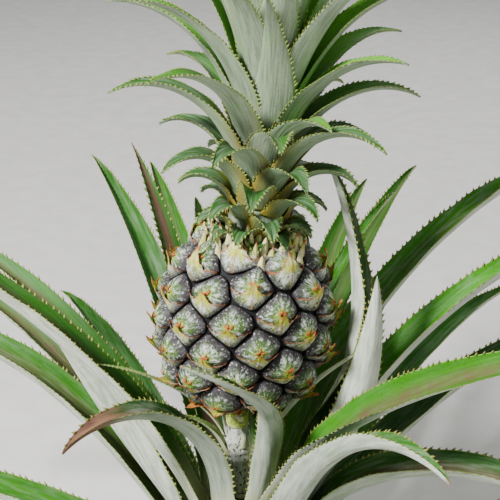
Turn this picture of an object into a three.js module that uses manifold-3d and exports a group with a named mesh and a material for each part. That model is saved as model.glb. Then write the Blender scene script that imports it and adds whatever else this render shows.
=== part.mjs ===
// A pineapple plant rooted in the ground: a short stout stem, a spiral rosette of long channelled
// leaves, the fruit on its stalk, and the tuft of recurved leaves that crowns the fruit.
// Millimetres, +Z up. The origin is the middle of the stem's flat cut at ground level; +X is to the
// right and -Y towards whoever looks at the plant's front.
import * as THREE from "three";
import { mergeVertices } from "three/addons/utils/BufferGeometryUtils.js";
import Module from "manifold-3d";

const wasm = await Module();
wasm.setup();

// Driving dimensions

const CLEARANCE = 0.35; // between neighbouring pieces
const SLIVER = 0.02; // edges shorter than this are merged where solids are fused
const DIVERGENCE = -137.508; // degrees round the axis from one organ of the spiral to the next

const STEM_RADIUS = 28;
const STEM_FLARE_RADIUS = 35;
const STEM_SHOULDER_Z = 112;
const STEM_TOP_Z = 150;
const STEM_TOP_RADIUS = 12;

const STALK_RADIUS = 10;
const STALK_FOOT_RADIUS = 11.5;
const STALK_HEAD_RADIUS = 16;

const FRUIT_SEAT = new THREE.Vector3(-5, 0, 246); // middle of the fruit's flat underside
const FRUIT_TILT = 6; // degrees, leaning towards +X
const FRUIT_WIDTH = 125;
const FRUIT_HEIGHT = 123;
const EYE_COUNT = 67;
const FIRST_EYE_HEADING = 51.7;
const EYE_GROOVE = 1.4; // half the width of the groove between two eyes
const EYE_RELIEF = 3.6;
const BEAK_RELIEF = 6;

const CROWN_STEM_RADIUS = 21;
const CROWN_STEM_TIP_RADIUS = 6;
const CROWN_STEM_HEIGHT = 112;
const CROWN_LEAF_COUNT = 58;

const SLIP_RADIUS = 7.5;
const SLIP_LENGTH = 17;

const LEAF_THICKNESS = 0.0112; // of a leaf's length, at its thickest
const THINNEST_EDGE = 0.5;

// Materials

function finish(colour, roughness) {
  return new THREE.MeshStandardMaterial({ color: colour, roughness, metalness: 0 });
}

const FINISHES = {
  stem: finish(0x8a7d5c, 0.9),
  stalk: finish(0xb9bda6, 0.85),
  leaf: finish(0x5c8a3c, 0.5),
  bract: finish(0x93a878, 0.6),
  fruit: finish(0x8a8f7a, 0.75),
  crown: finish(0x7d9a72, 0.6),
};

// Shared geometry

const radians = THREE.MathUtils.degToRad;
const lerp = THREE.MathUtils.lerp;
const smoothstep = THREE.MathUtils.smoothstep;

/**
 * A closed skin over rings of equally many points, of which the last may be a single point. Where the
 * rings are thin blades, their two faces are split along the same diagonals, so a twist can't make
 * one face pass through the other.
 */
function loft(rings, thin = false) {
  const vertices = [];
  const faces = [];
  const starts = rings.map((ring) => {
    const start = vertices.length;
    vertices.push(...ring);
    return start;
  });
  for (let k = 1; k < rings.length; k++) {
    const lower = rings[k - 1].length;
    const upper = rings[k].length;
    for (let i = 0; i < Math.max(lower, upper); i++) {
      const j = (i + 1) % Math.max(lower, upper);
      const a = starts[k - 1] + (i % lower);
      const b = starts[k - 1] + (j % lower);
      const c = starts[k] + (j % upper);
      const d = starts[k] + (i % upper);
      const returning = thin && 2 * i >= Math.max(lower, upper);
      if (a !== b) faces.push([a, b, returning ? d : c]);
      if (c !== d) faces.push([returning ? b : a, c, d]);
    }
  }
  closeRing(faces, starts[0], rings[0].length, true);
  closeRing(faces, starts.at(-1), rings.at(-1).length, false);
  const geometry = new THREE.BufferGeometry();
  geometry.setFromPoints(vertices);
  geometry.setIndex(faces.flat());
  return geometry;
}

/** Fills a ring with a strip of triangles that keeps to its two sides, so a channel's end stays true. */
function closeRing(faces, start, count, backwards) {
  let low = 0;
  let high = count - 1;
  while (high - low >= 2) {
    const face = (low + count - 1 - high) % 2 ? [low, high - 1, high] : [low, low + 1, high];
    faces.push((backwards ? face.reverse() : face).map((i) => i + start));
    if ((low + count - 1 - high) % 2) high--;
    else low++;
  }
}

/** The manifold solid of a geometry whose shared corners are merged. */
function solid(geometry) {
  const bare = geometry.clone();
  bare.deleteAttribute("normal");
  bare.deleteAttribute("uv");
  const merged = mergeVertices(bare, 1e-4);
  return new wasm.Manifold(
    new wasm.Mesh({
      numProp: 3,
      vertProperties: new Float32Array(merged.attributes.position.array),
      triVerts: new Uint32Array(merged.index.array),
    }),
  );
}

/** The geometry of a manifold solid. */
function geometryOf(shape) {
  const mesh = shape.getMesh();
  const geometry = new THREE.BufferGeometry();
  geometry.setAttribute("position", new THREE.BufferAttribute(new Float32Array(mesh.vertProperties), 3));
  geometry.setIndex(new THREE.BufferAttribute(new Uint32Array(mesh.triVerts), 1));
  return geometry;
}

/**
 * One solid from many that reach into each other: the outer shell, with any sealed hollow filled and
 * the slivers along the seams merged away.
 */
function fuse(shapes) {
  const shells = wasm.Manifold.union(shapes).simplify(SLIVER).decompose();
  return shells.reduce((widest, shell) => (shell.volume() > widest.volume() ? shell : widest));
}

/** A solid of revolution about Z through radius and height pairs, closed on the axis. */
function turned(profile, segments) {
  return new THREE.LatheGeometry(
    profile.map(([radius, z]) => new THREE.Vector2(radius, z)),
    segments,
  ).rotateX(Math.PI / 2);
}

function named(name, geometry, material) {
  const mesh = new THREE.Mesh(geometry, material);
  mesh.name = name;
  return mesh;
}

// Blades: every leaf and bract is a channelled blade along an arching line

/**
 * The line of a blade. It starts at foot, heading and rise are its direction there in degrees, and along
 * it the rise falls by droop, mostly towards the tip where bend is high, the heading turns by sweep, and
 * the blade turns about its own line by roll.
 */
function bladeLine({ foot, heading, rise, droop, bend = 1.3, sweep = 0, roll = 0, length }, steps) {
  const stations = [];
  const point = foot.clone();
  for (let k = 0; k <= steps; k++) {
    const along = k / steps;
    const frame = bladeFrame(heading, rise, droop, bend, sweep, roll, along);
    stations.push({ along, point: point.clone(), ...frame });
    const half = bladeFrame(heading, rise, droop, bend, sweep, roll, along + 0.5 / steps);
    point.addScaledVector(half.forward, length / steps);
  }
  return stations;
}

/** Directions at a share of the way along a blade: forward, sideways and inward, off its upper face. */
function bladeFrame(heading, rise, droop, bend, sweep, roll, along) {
  const h = radians(heading + sweep * along ** 1.5);
  const e = radians(rise - droop * along ** bend);
  const forward = new THREE.Vector3(Math.cos(e) * Math.cos(h), Math.cos(e) * Math.sin(h), Math.sin(e));
  const side = new THREE.Vector3(-Math.sin(h), Math.cos(h), 0);
  const turn = radians(roll) * smoothstep(along, 0.02, 0.7);
  side.applyAxisAngle(forward, turn);
  return { forward, side, inward: forward.clone().cross(side) };
}

/** Half the width of a long leaf: narrow where it leaves the stem, then broad, then a long taper. */
function longLeafHalfWidth(along, width) {
  const foot = lerp(0.56, 1, smoothstep(along, 0, 0.24));
  return (width / 2) * foot * (1 - along ** 2.4) ** 0.9;
}

/** Half the width of a crown leaf or a bract: narrow at its foot, soon broad, then tapering evenly. */
function shortLeafHalfWidth(along, width) {
  const foot = lerp(0.5, 1, smoothstep(along, 0, 0.22));
  return (width / 2) * foot * (1 - along ** 1.7);
}

/** How thick a blade is: a little thinner where it is narrow at the foot, and thin at its tip. */
function bladeThickness(along, { length, thickness = length * LEAF_THICKNESS }) {
  return thickness * lerp(0.65, 1, smoothstep(along, 0, 0.3)) * (1 - 0.6 * along ** 2);
}

/**
 * The section of a long leaf, a shallow trough: two slopes that rise from a flat bottom to sharp edges.
 * Near the foot the trough opens until it only follows the stem's roundness.
 */
function troughSection(spec, { along, point, side, inward }) {
  const half = longLeafHalfWidth(along, spec.width);
  const flat = 0.42 * half;
  const trough = spec.width * (spec.trough ?? 0.34);
  const depth = lerp((half * half) / (3 * STEM_RADIUS), trough, smoothstep(along, 0.02, 0.3));
  const rib = bladeThickness(along, spec);
  const at = (across, lift) => point.clone().addScaledVector(side, across).addScaledVector(inward, lift);
  const edge = depth * (half / (spec.width / 2)) ** 0.6 - THINNEST_EDGE;
  return [at(-half, edge), at(-flat, -rib), at(flat, -rib), at(half, edge), at(flat, 0), at(-flat, 0)];
}

/** The section of a short leaf or a bract: two slopes that meet along the midrib. */
function keelSection(spec, { along, point, side, inward }) {
  const half = shortLeafHalfWidth(along, spec.width);
  const edge = half * spec.keel * smoothstep(along, -0.1, 0.25);
  const rib = bladeThickness(along, spec);
  const at = (across, lift) => point.clone().addScaledVector(side, across).addScaledVector(inward, lift);
  return [at(-half, edge), at(0, -rib), at(half, edge), at(0, 0)];
}

/** The solid of a blade: its section carried along its line and drawn to a point at the tip. */
function blade(spec, section, steps) {
  const rings = bladeLine(spec, steps).map((station) => {
    return station.along === 1 ? [station.point] : section(spec, station);
  });
  return loft(rings, true);
}

// Stem, stalk and slip

function stem() {
  return turned(
    [
      [0, 0],
      [STEM_FLARE_RADIUS, 0],
      [STEM_RADIUS + 2, 9],
      [STEM_RADIUS, 24],
      [STEM_RADIUS, STEM_SHOULDER_Z],
      [STEM_RADIUS - 5, STEM_TOP_Z - 16],
      [STEM_TOP_RADIUS + 2, STEM_TOP_Z - 3],
      [STEM_TOP_RADIUS, STEM_TOP_Z],
      [0, STEM_TOP_Z],
    ],
    24,
  );
}

/** The stem's radius at a height. */
function stemRadius(z) {
  if (z <= STEM_SHOULDER_Z) return STEM_RADIUS;
  if (z <= STEM_TOP_Z - 16) {
    return lerp(STEM_RADIUS, STEM_RADIUS - 5, (z - STEM_SHOULDER_Z) / (STEM_TOP_Z - 16 - STEM_SHOULDER_Z));
  }
  return lerp(STEM_RADIUS - 5, STEM_TOP_RADIUS + 2, (z - STEM_TOP_Z + 16) / 13);
}

const fruitAxis = new THREE.Vector3(0, 0, 1).applyAxisAngle(new THREE.Vector3(0, 1, 0), radians(FRUIT_TILT));

/** The stalk's line leaves the stem upright and meets the fruit along the fruit's own axis. */
function stalkLine() {
  const foot = new THREE.Vector3(0, 0, STEM_TOP_Z + CLEARANCE);
  const head = FRUIT_SEAT.clone().addScaledVector(fruitAxis, -CLEARANCE);
  return new THREE.CubicBezierCurve3(
    foot,
    foot.clone().add(new THREE.Vector3(-3, 0, 38)),
    head.clone().addScaledVector(fruitAxis, -30),
    head,
  );
}

function stalkRadius(along) {
  const body = lerp(STALK_FOOT_RADIUS, STALK_RADIUS, smoothstep(along, 0, 0.3));
  return lerp(body, STALK_HEAD_RADIUS, smoothstep(along, 0.72, 1));
}

function stalk() {
  const line = stalkLine();
  const sides = 14;
  const steps = 9;
  const rings = [];
  for (let k = 0; k <= steps; k++) {
    const along = k / steps;
    const centre = line.getPoint(along);
    const axis = k === 0 ? new THREE.Vector3(0, 0, 1) : line.getTangent(along);
    const across = new THREE.Vector3(1, 0, 0).addScaledVector(axis, -axis.x).normalize();
    const away = axis.clone().cross(across);
    rings.push(
      Array.from({ length: sides }, (_, i) => {
        const angle = (i / sides) * 2 * Math.PI;
        return centre
          .clone()
          .addScaledVector(across, stalkRadius(along) * Math.cos(angle))
          .addScaledVector(away, stalkRadius(along) * Math.sin(angle));
      }),
    );
  }
  return loft(rings);
}

/** A point just off the stalk's surface at a height and heading. */
function offStalk(z, heading) {
  const along = (z - STEM_TOP_Z) / (FRUIT_SEAT.z - STEM_TOP_Z);
  const centre = stalkLine().getPoint(along);
  const out = new THREE.Vector3(Math.cos(radians(heading)), Math.sin(radians(heading)), 0);
  return centre.addScaledVector(out, stalkRadius(along) + CLEARANCE);
}

/** The slip: a young shoot on the stalk just under the fruit, still a bud of closed scales. */
function slip() {
  const foot = offStalk(223, -84);
  const profile = [
    [0, 0],
    [SLIP_RADIUS * 0.55, 0],
    [SLIP_RADIUS, SLIP_LENGTH * 0.35],
    [SLIP_RADIUS * 0.92, SLIP_LENGTH * 0.62],
    [SLIP_RADIUS * 0.5, SLIP_LENGTH * 0.9],
    [0, SLIP_LENGTH],
  ];
  const geometry = turned(profile, 10);
  const upright = new THREE.Vector3(0, 0, 1);
  const leaning = new THREE.Vector3(0.1, -0.86, 0.5);
  geometry.applyQuaternion(new THREE.Quaternion().setFromUnitVectors(upright, leaning));
  const seat = 3.4; // the tilted foot of the bud clears the stalk all round
  return geometry.translate(foot.x, foot.y - seat, foot.z + 1.5);
}

// Bracts on the stalk: height, heading, rise, droop, length and width of each

const BRACTS = [
  { name: "stalk_bract_1", z: 163, heading: 110, rise: 74, droop: 30, length: 84, width: 13 },
  { name: "stalk_bract_2", z: 172, heading: -14, rise: 72, droop: 40, bend: 1, length: 158, width: 8 },
  { name: "stalk_bract_3", z: 183, heading: 192, rise: 74, droop: 66, length: 58, width: 13 },
  { name: "stalk_bract_4", z: 190, heading: 70, rise: 70, droop: 40, length: 66, width: 12 },
  { name: "stalk_bract_5", z: 192, heading: -62, rise: 84, droop: 10, length: 46, width: 6 },
  { name: "stalk_bract_6", z: 200, heading: 190, rise: 76, droop: 62, bend: 0.6, length: 122, width: 8 },
];

function bract({ z, heading, ...shape }) {
  return blade({ foot: offStalk(z, heading), heading, thickness: 1.7, keel: 0.3, ...shape }, keelSection, 7);
}

// Rosette leaves. Those that show from the front are described one by one, youngest and innermost first.

const FRONT_LEAVES = [
  {
    z: 127,
    heading: -46,
    rise: 79,
    droop: 59,
    bend: 0.6,
    sweep: 20,
    roll: 46,
    length: 400,
    width: 28,
    trough: 0.4,
  },
  { z: 137, heading: -58, rise: 77, droop: 52, bend: 1.6, sweep: -124, length: 222, width: 22 },
  { z: 132, heading: 214, rise: 87, droop: 124, bend: 1.6, length: 206, width: 32 },
  { z: 126, heading: -3, rise: 58, droop: -53, bend: 1.1, roll: 158, length: 308, width: 26, trough: 0.5 },
  { z: 113, heading: -17, rise: 57, droop: -35, bend: 1.1, roll: -74, length: 250, width: 35, trough: 0.22 },
  { z: 114, heading: 57, rise: 76, droop: 69, bend: 1.1, length: 322, width: 18 },
  { z: 110, heading: 186, rise: 78, droop: 50, bend: 0.7, length: 430, width: 32 },
  { z: 99, heading: 29, rise: 78, droop: 76, bend: 1.2, length: 430, width: 34 },
  { z: 126, heading: 128, rise: 76, droop: 28, bend: 2, length: 300, width: 28, trough: 0.1 },
  { z: 91, heading: -53, rise: 67, droop: 86, bend: 2.8, roll: -14, length: 284, width: 36 },
  { z: 92, heading: 177, rise: 57, droop: -7, bend: 1.4, roll: 62, length: 232, width: 34 },
  { z: 87, heading: 16, rise: 68, droop: 66, bend: 1.5, length: 400, width: 32 },
  { z: 72, heading: -20, rise: 77, droop: 147, bend: 1.2, length: 372, width: 34 },
  { z: 70, heading: 166, rise: 55, droop: 109, bend: 2.4, length: 419, width: 34 },
  { z: 62, heading: 20, rise: 52, droop: 58, bend: 1.6, length: 387, width: 32 },
  { z: 60, heading: 200, rise: 48, droop: 84, bend: 1.1, length: 390, width: 34 },
  { z: 56, heading: -30, rise: 46, droop: 76, bend: 1.1, length: 370, width: 34 },
];

// The others are given by height and heading: the lower and older a leaf, the flatter it lies and the
// more it arches. Those at the back stand more upright.

const OTHER_LEAVES = [
  [112, 92], [104, 250], [97, -89], [94, 84], [90, 118], [86, 234], [84, 148], [82, 60], [78, -82],
  [74, 106], [70, 244], [66, 70], [62, 145], [58, -74], [54, 98], [50, 238], [46, 180], [42, 46],
  [40, 264], [38, -4], [34, -66], [30, 120], [26, 210], [22, 72], [20, -110],
];

function otherLeaf([z, heading]) {
  const age = (OTHER_LEAVES[0][0] - z) / (OTHER_LEAVES[0][0] - OTHER_LEAVES.at(-1)[0]);
  return {
    z,
    heading,
    rise: lerp(66, 32, age) + 9 * Math.sin(radians(heading)),
    droop: lerp(54, 50, age),
    bend: 1.2,
    length: 290 + 120 * Math.sin(Math.PI * lerp(0.12, 0.75, age)),
    width: 32,
  };
}

const ROSETTE = [...FRONT_LEAVES, ...OTHER_LEAVES.map(otherLeaf)];

function rosetteLeaf({ z, heading, ...shape }) {
  const out = new THREE.Vector3(Math.cos(radians(heading)), Math.sin(radians(heading)), 0);
  const foot = out.multiplyScalar(stemRadius(z) + CLEARANCE).setZ(z);
  return blade({ foot, heading, ...shape }, troughSection, 8);
}

// Fruit

/** The fruit's outline, radius against height, is a spline through a few measured girths. */
const FRUIT_GIRTHS = [
  [0.2, 0],
  [0.36, 0.065],
  [0.45, 0.18],
  [0.497, 0.366],
  [0.5, 0.504],
  [0.468, 0.691],
  [0.384, 0.854],
  [0.288, 0.951],
  [0.19, 1],
].map(([radius, z]) => new THREE.Vector2(radius * (FRUIT_WIDTH - 2 * EYE_RELIEF), z * FRUIT_HEIGHT));

const PROFILE_STEPS = 400;

/** Stations along the outline, each with its distance from the foot and the skin's area below it. */
const fruitProfile = (() => {
  const points = new THREE.SplineCurve(FRUIT_GIRTHS).getPoints(PROFILE_STEPS);
  let run = 0;
  let area = 0;
  return points.map((point, k) => {
    const before = points[Math.max(k - 1, 0)];
    const step = point.distanceTo(before);
    run += step;
    area += Math.PI * (point.x + before.x) * step;
    return { radius: point.x, z: point.y, run, area };
  });
})();

/** The station where a rising quantity, run or area, reaches a value. */
function fruitStation(quantity, value) {
  const k = Math.max(fruitProfile.findIndex((station) => station[quantity] >= value), 1);
  const ahead = fruitProfile[Math.min(k + 1, PROFILE_STEPS)];
  const behind = fruitProfile[k - 1];
  const slope = Math.atan2(ahead.z - behind.z, ahead.radius - behind.radius);
  return { ...fruitProfile[k], slope };
}

/** The eyes, one after another up the spiral, each with an equal share of the skin. */
const EYES = Array.from({ length: EYE_COUNT }, (_, i) => {
  const share = (i + 0.5) / EYE_COUNT;
  const heading = FIRST_EYE_HEADING + i * DIVERGENCE;
  return { heading: radians(heading), ...fruitStation("area", share * fruitProfile.at(-1).area) };
});

/** How far one eye lies from another over the skin: round the fruit and up it. */
function skinOffset(from, to) {
  const turn = Math.atan2(Math.sin(to.heading - from.heading), Math.cos(to.heading - from.heading));
  return new THREE.Vector2((turn * (from.radius + to.radius)) / 2, to.run - from.run);
}

/** The share of the skin nearer to an eye than to any other, as a polygon round that eye. */
function eyeOutline(eye) {
  const reach = 40;
  const square = [[-1, -1], [1, -1], [1, 1], [-1, 1]];
  let outline = square.map(([x, y]) => new THREE.Vector2(x * reach, y * reach));
  for (const other of EYES) {
    const offset = skinOffset(eye, other);
    const distance = offset.length();
    if (other === eye || distance > 2 * reach) continue;
    const normal = offset.divideScalar(distance);
    const limit = distance / 2 - EYE_GROOVE;
    const kept = [];
    outline.forEach((here, i) => {
      const next = outline[(i + 1) % outline.length];
      const a = here.dot(normal) - limit;
      const b = next.dot(normal) - limit;
      if (a <= 0) kept.push(here);
      if (a * b < 0) kept.push(here.clone().lerp(next, a / (a - b)));
    });
    outline = kept;
  }
  const lowest = -eye.run + EYE_GROOVE;
  const highest = fruitProfile.at(-1).run - eye.run - EYE_GROOVE;
  return outline.map(({ x, y }) => new THREE.Vector2(x, THREE.MathUtils.clamp(y, lowest, highest)));
}

/** A point of the skin at an offset from an eye, raised along the skin's normal. */
function onSkin(eye, offset, height) {
  const run = THREE.MathUtils.clamp(eye.run + offset.y, 0.01, fruitProfile.at(-1).run);
  const station = fruitStation("run", run);
  const angle = eye.heading + offset.x / eye.radius;
  const radius = station.radius + height * Math.sin(station.slope);
  return new THREE.Vector3(
    radius * Math.cos(angle),
    radius * Math.sin(angle),
    station.z - height * Math.cos(station.slope),
  );
}

/** One eye: a shield with sloping sides that rises to the beak of its bract, a little above the middle. */
function eyeSolid(eye) {
  const outline = eyeOutline(eye);
  const ring = (scale, lift, height) =>
    outline.map(({ x, y }) => onSkin(eye, new THREE.Vector2(x * scale, y * scale + lift), height));
  const last = fruitProfile.at(-1).run;
  const swell = smoothstep(Math.min(last - eye.run, eye.run), 0, 16); // the end eyes stay flatter
  return loft([
    ring(0.94, 0, -4.5),
    ring(0.7, 0.4 * swell, EYE_RELIEF * swell),
    [onSkin(eye, new THREE.Vector2(0, 2.2 * swell), BEAK_RELIEF * swell)],
  ]);
}

function fruit() {
  const inset = 1.2;
  const core = FRUIT_GIRTHS.map(({ x, y }) => [x - inset, y]);
  const body = solid(turned([[0, 0], ...core, [0, FRUIT_HEIGHT]], 22));
  return geometryOf(fuse([body, ...EYES.map((eye) => solid(eyeSolid(eye)))]));
}

// Crown: a stub of stem that carries its leaves in the fruit's own spiral

function crownStemRadius(z) {
  return lerp(CROWN_STEM_RADIUS, CROWN_STEM_TIP_RADIUS, (z / CROWN_STEM_HEIGHT) ** 1.4);
}

/** How a crown leaf's sizes change with its rank, from 0 for the lowest to 1 for the youngest. */
const CROWN_RANKS = {
  length: [[0, 30], [0.15, 50], [0.35, 98], [0.5, 132], [0.65, 160], [0.8, 150], [1, 95]],
  width: [[0, 23], [0.2, 29], [0.5, 36], [0.7, 36], [1, 22]],
  rise: [[0, 62], [0.2, 68], [0.5, 73], [0.7, 77], [1, 88]],
  droop: [[0, 130], [0.2, 118], [0.45, 94], [0.6, 78], [0.72, 50], [0.85, 26], [1, 8]],
  bend: [[0, 1.2], [1, 1.8]],
};

/** The crown leaves that show from the front and grew unlike their neighbours. */
const ODD_CROWN_LEAVES = {
  13: { length: 78 },
  15: { length: 62 },
  18: { length: 80 },
  21: { length: 124 },
  23: { length: 80 },
  26: { length: 132 },
  28: { length: 70 },
  29: { length: 152, rise: 76, droop: 88 },
  31: { length: 122, width: 48, rise: 82, droop: 24 },
  33: { length: 116, width: 40 },
  36: { length: 90, width: 24, rise: 85, droop: 14 },
  38: { droop: 80 },
};

/** The value that a row of rank and value pairs gives at a rank. */
function atRank(pairs, rank) {
  const next = Math.max(pairs.findIndex(([from]) => from >= rank), 1);
  const [a, low] = pairs[next - 1];
  const [b, high] = pairs[next];
  return lerp(low, high, (rank - a) / (b - a));
}

function crownLeaf(k) {
  const rank = k / (CROWN_LEAF_COUNT - 1);
  const z = lerp(7, CROWN_STEM_HEIGHT - 4, rank ** 0.95);
  const heading = FIRST_EYE_HEADING + (EYE_COUNT + k) * DIVERGENCE;
  const sunk = 2;
  const foot = new THREE.Vector3(Math.cos(radians(heading)), Math.sin(radians(heading)), 0)
    .multiplyScalar(crownStemRadius(z) - sunk)
    .setZ(z);
  const sizes = Object.entries(CROWN_RANKS).map(([size, pairs]) => [size, atRank(pairs, rank)]);
  return { foot, heading, thickness: 2.4, keel: 0.4, ...Object.fromEntries(sizes), ...ODD_CROWN_LEAVES[k] };
}

function crown() {
  const profile = [0, 0.25, 0.5, 0.75, 1].map((share) => [
    crownStemRadius(share * CROWN_STEM_HEIGHT),
    share * CROWN_STEM_HEIGHT,
  ]);
  const core = solid(turned([[0, 0], ...profile, [0, CROWN_STEM_HEIGHT]], 10));
  const leaves = Array.from({ length: CROWN_LEAF_COUNT }, (_, k) => {
    const steps = k < CROWN_LEAF_COUNT / 4 ? 4 : 5;
    return solid(blade(crownLeaf(k), keelSection, steps));
  });
  return geometryOf(fuse([core, ...leaves]));
}

// The whole plant

const plant = new THREE.Group();
plant.add(named("stem", stem(), FINISHES.stem));
plant.add(named("fruit_stalk", stalk(), FINISHES.stalk));
plant.add(named("slip_bud", slip(), FINISHES.bract));
for (const spec of BRACTS) plant.add(named(spec.name, bract(spec), FINISHES.bract));
ROSETTE.forEach((spec, k) => {
  plant.add(named(`leaf_${String(k + 1).padStart(2, "0")}`, rosetteLeaf(spec), FINISHES.leaf));
});

const head = new THREE.Group();
head.position.copy(FRUIT_SEAT);
head.rotation.y = radians(FRUIT_TILT);
head.add(named("fruit", fruit(), FINISHES.fruit));
const tuft = named("crown", crown(), FINISHES.crown);
tuft.position.z = FRUIT_HEIGHT + CLEARANCE;
head.add(tuft);
plant.add(head);

export default plant;
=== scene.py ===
"""Looks of a fruiting pineapple plant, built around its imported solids.

Shapes are worked out in millimetres in the solids' own frame (origin in the middle of the stem's flat
cut at ground level, +Z up, -Y towards whoever looks at the front) and written to the meshes in metres.
"""

import logging
import math
from dataclasses import dataclass, field, replace
from enum import Enum

import bpy
import numpy as np
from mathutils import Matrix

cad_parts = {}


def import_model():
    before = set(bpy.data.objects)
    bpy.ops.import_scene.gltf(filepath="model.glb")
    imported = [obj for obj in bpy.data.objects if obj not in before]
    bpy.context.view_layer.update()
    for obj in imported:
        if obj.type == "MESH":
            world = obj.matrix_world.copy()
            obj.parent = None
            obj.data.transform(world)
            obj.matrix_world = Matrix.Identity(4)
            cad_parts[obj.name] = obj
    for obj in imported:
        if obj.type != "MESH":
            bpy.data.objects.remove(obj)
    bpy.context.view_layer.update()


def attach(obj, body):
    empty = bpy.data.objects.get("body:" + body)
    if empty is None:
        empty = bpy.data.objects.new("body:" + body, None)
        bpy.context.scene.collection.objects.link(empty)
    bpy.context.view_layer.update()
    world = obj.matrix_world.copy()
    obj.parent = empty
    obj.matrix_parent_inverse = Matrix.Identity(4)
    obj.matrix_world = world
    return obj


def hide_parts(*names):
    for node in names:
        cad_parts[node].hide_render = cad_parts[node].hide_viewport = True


LOG = logging.getLogger("pineapple plant")
Grid = np.ndarray | float  # a grid of numbers, or one number that holds all over it
Tree = bpy.types.NodeTree
Socket = bpy.types.NodeSocket
Amount = Socket | float  # a node's output or a number
Colour = Socket | str  # a node's output or an sRGB hex colour

MM = 0.001
MAP_UNIT = 100.0  # mm that count as 1 in the blade map
BODY = "root"
DIVERGENCE = -137.508  # degrees round the axis from one organ of the spiral to the next
BLADE_MAP = "BladeMillimetres"  # UV map of distances, for patterns that follow a surface
BAKE_MAP = "OFBake"  # UV map in the unit square, one island for each face of a surface
WALL_SHARE = 0.04  # share of its bake map tile that a sheet's walls get, and each end of a tube
NO_CORNER = -1  # stands for the fourth corner of a triangle
# Names of the numbers that a surface carries on its corners for its finish
BLADE_VALUES = ("along", "across", "under", "bronze", "scurf", "dry", "tone_and_painted_light", "amber", "spine")
EYE_VALUES = ("reach", "rank")
BRACT_VALUES = ("reach", "rank", "rim", "keel", "beak", "dry")


# Numbers and vectors


def smoothstep(value: Grid, low: float, high: float) -> Grid:
    """Rise from 0 at low to 1 at high along 3t^2 - 2t^3.

    Args:
        value: where to read the step.
        low: value at which the step leaves 0.
        high: value at which it reaches 1.

    Returns:
        The step's height, of the shape of value.
    """
    t = np.clip((np.asarray(value, float) - low) / (high - low), 0.0, 1.0)
    return t * t * (3.0 - 2.0 * t)


def lerp(low: Grid, high: Grid, share: Grid) -> Grid:
    """The value a share of the way from low to high."""
    return low + (high - low) * share


def unit(vectors: np.ndarray) -> np.ndarray:
    """Vectors along the last axis, each divided by its length."""
    return vectors / np.maximum(np.linalg.norm(vectors, axis=-1, keepdims=True), 1e-12)


def stacked(*coordinates: Grid) -> np.ndarray:
    """Coordinates, spread over one common grid, as points along a new last axis."""
    return np.stack(np.broadcast_arrays(*coordinates), axis=-1)


def about_axis(radius: Grid, turn: np.ndarray, z: Grid) -> np.ndarray:
    """Points at a radius from the Z axis, a turn about it in radians, and a height."""
    return stacked(radius * np.cos(turn), radius * np.sin(turn), z)


def full_turn(sides: int) -> np.ndarray:
    """Angles evenly round a circle in radians, as one row."""
    return np.linspace(0.0, 2.0 * math.pi, sides, endpoint=False)[None, :]


def foot_at(radius: float, heading: float, z: float) -> tuple[float, float, float]:
    """The point at a radius from the Z axis, a heading in degrees, and a height."""
    way = math.radians(heading)
    return (radius * math.cos(way), radius * math.sin(way), z)


def ripple(points: np.ndarray, wavelength: float, seed: int) -> np.ndarray:
    """Gentle seeded unevenness: the mean of plane sine waves that run in random directions.

    Args:
        points: places, with coordinates along the last axis.
        wavelength: mean distance between crests, in the points' own unit.
        seed: picks the directions, the wavelengths and the phases.

    Returns:
        Values of about -1 to 1, one for each point.
    """
    waves = 7
    random = np.random.default_rng(seed)
    directions = unit(random.normal(size=(waves, points.shape[-1])))
    pitches = random.uniform(0.6, 1.5, waves) * 2.0 * math.pi / wavelength
    phases = random.uniform(0.0, 2.0 * math.pi, waves)
    heights = np.sin(points @ (directions * pitches[:, None]).T + phases)
    return heights.sum(-1) / math.sqrt(waves)


def linear(colour: str) -> tuple[float, float, float, float]:
    """An sRGB hex colour as linear red, green, blue and alpha.

    Args:
        colour: six hex digits after a hash.

    Returns:
        The four linear values.
    """
    channels = [int(colour[k : k + 2], 16) / 255.0 for k in (1, 3, 5)]
    red, green, blue = (c / 12.92 if c <= 0.04045 else ((c + 0.055) / 1.055) ** 2.4 for c in channels)
    return (red, green, blue, 1.0)


# Skins: meshes held as arrays until they are written


@dataclass
class Skin:
    """A surface as arrays.

    Points are in millimetres. A row of faces holds four corners, the last NO_CORNER in a triangle. The
    blade map, the bake map and the values have one entry for each of these corners.
    """

    points: np.ndarray
    faces: np.ndarray
    blade_map: np.ndarray
    bake_map: np.ndarray
    values: dict[str, np.ndarray] = field(default_factory=dict)


def joined(skins: list[Skin]) -> Skin:
    """One skin from several that hold the same named values.

    Args:
        skins: the parts.

    Returns:
        A skin with all their points and faces.
    """
    starts = np.cumsum([0] + [len(skin.points) for skin in skins[:-1]])
    faces = [np.where(s.faces == NO_CORNER, NO_CORNER, s.faces + start) for s, start in zip(skins, starts)]
    return Skin(
        np.concatenate([skin.points for skin in skins]),
        np.concatenate(faces),
        np.concatenate([skin.blade_map for skin in skins]),
        np.concatenate([skin.bake_map for skin in skins]),
        {name: np.concatenate([skin.values[name] for skin in skins]) for name in skins[0].values},
    )


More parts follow.
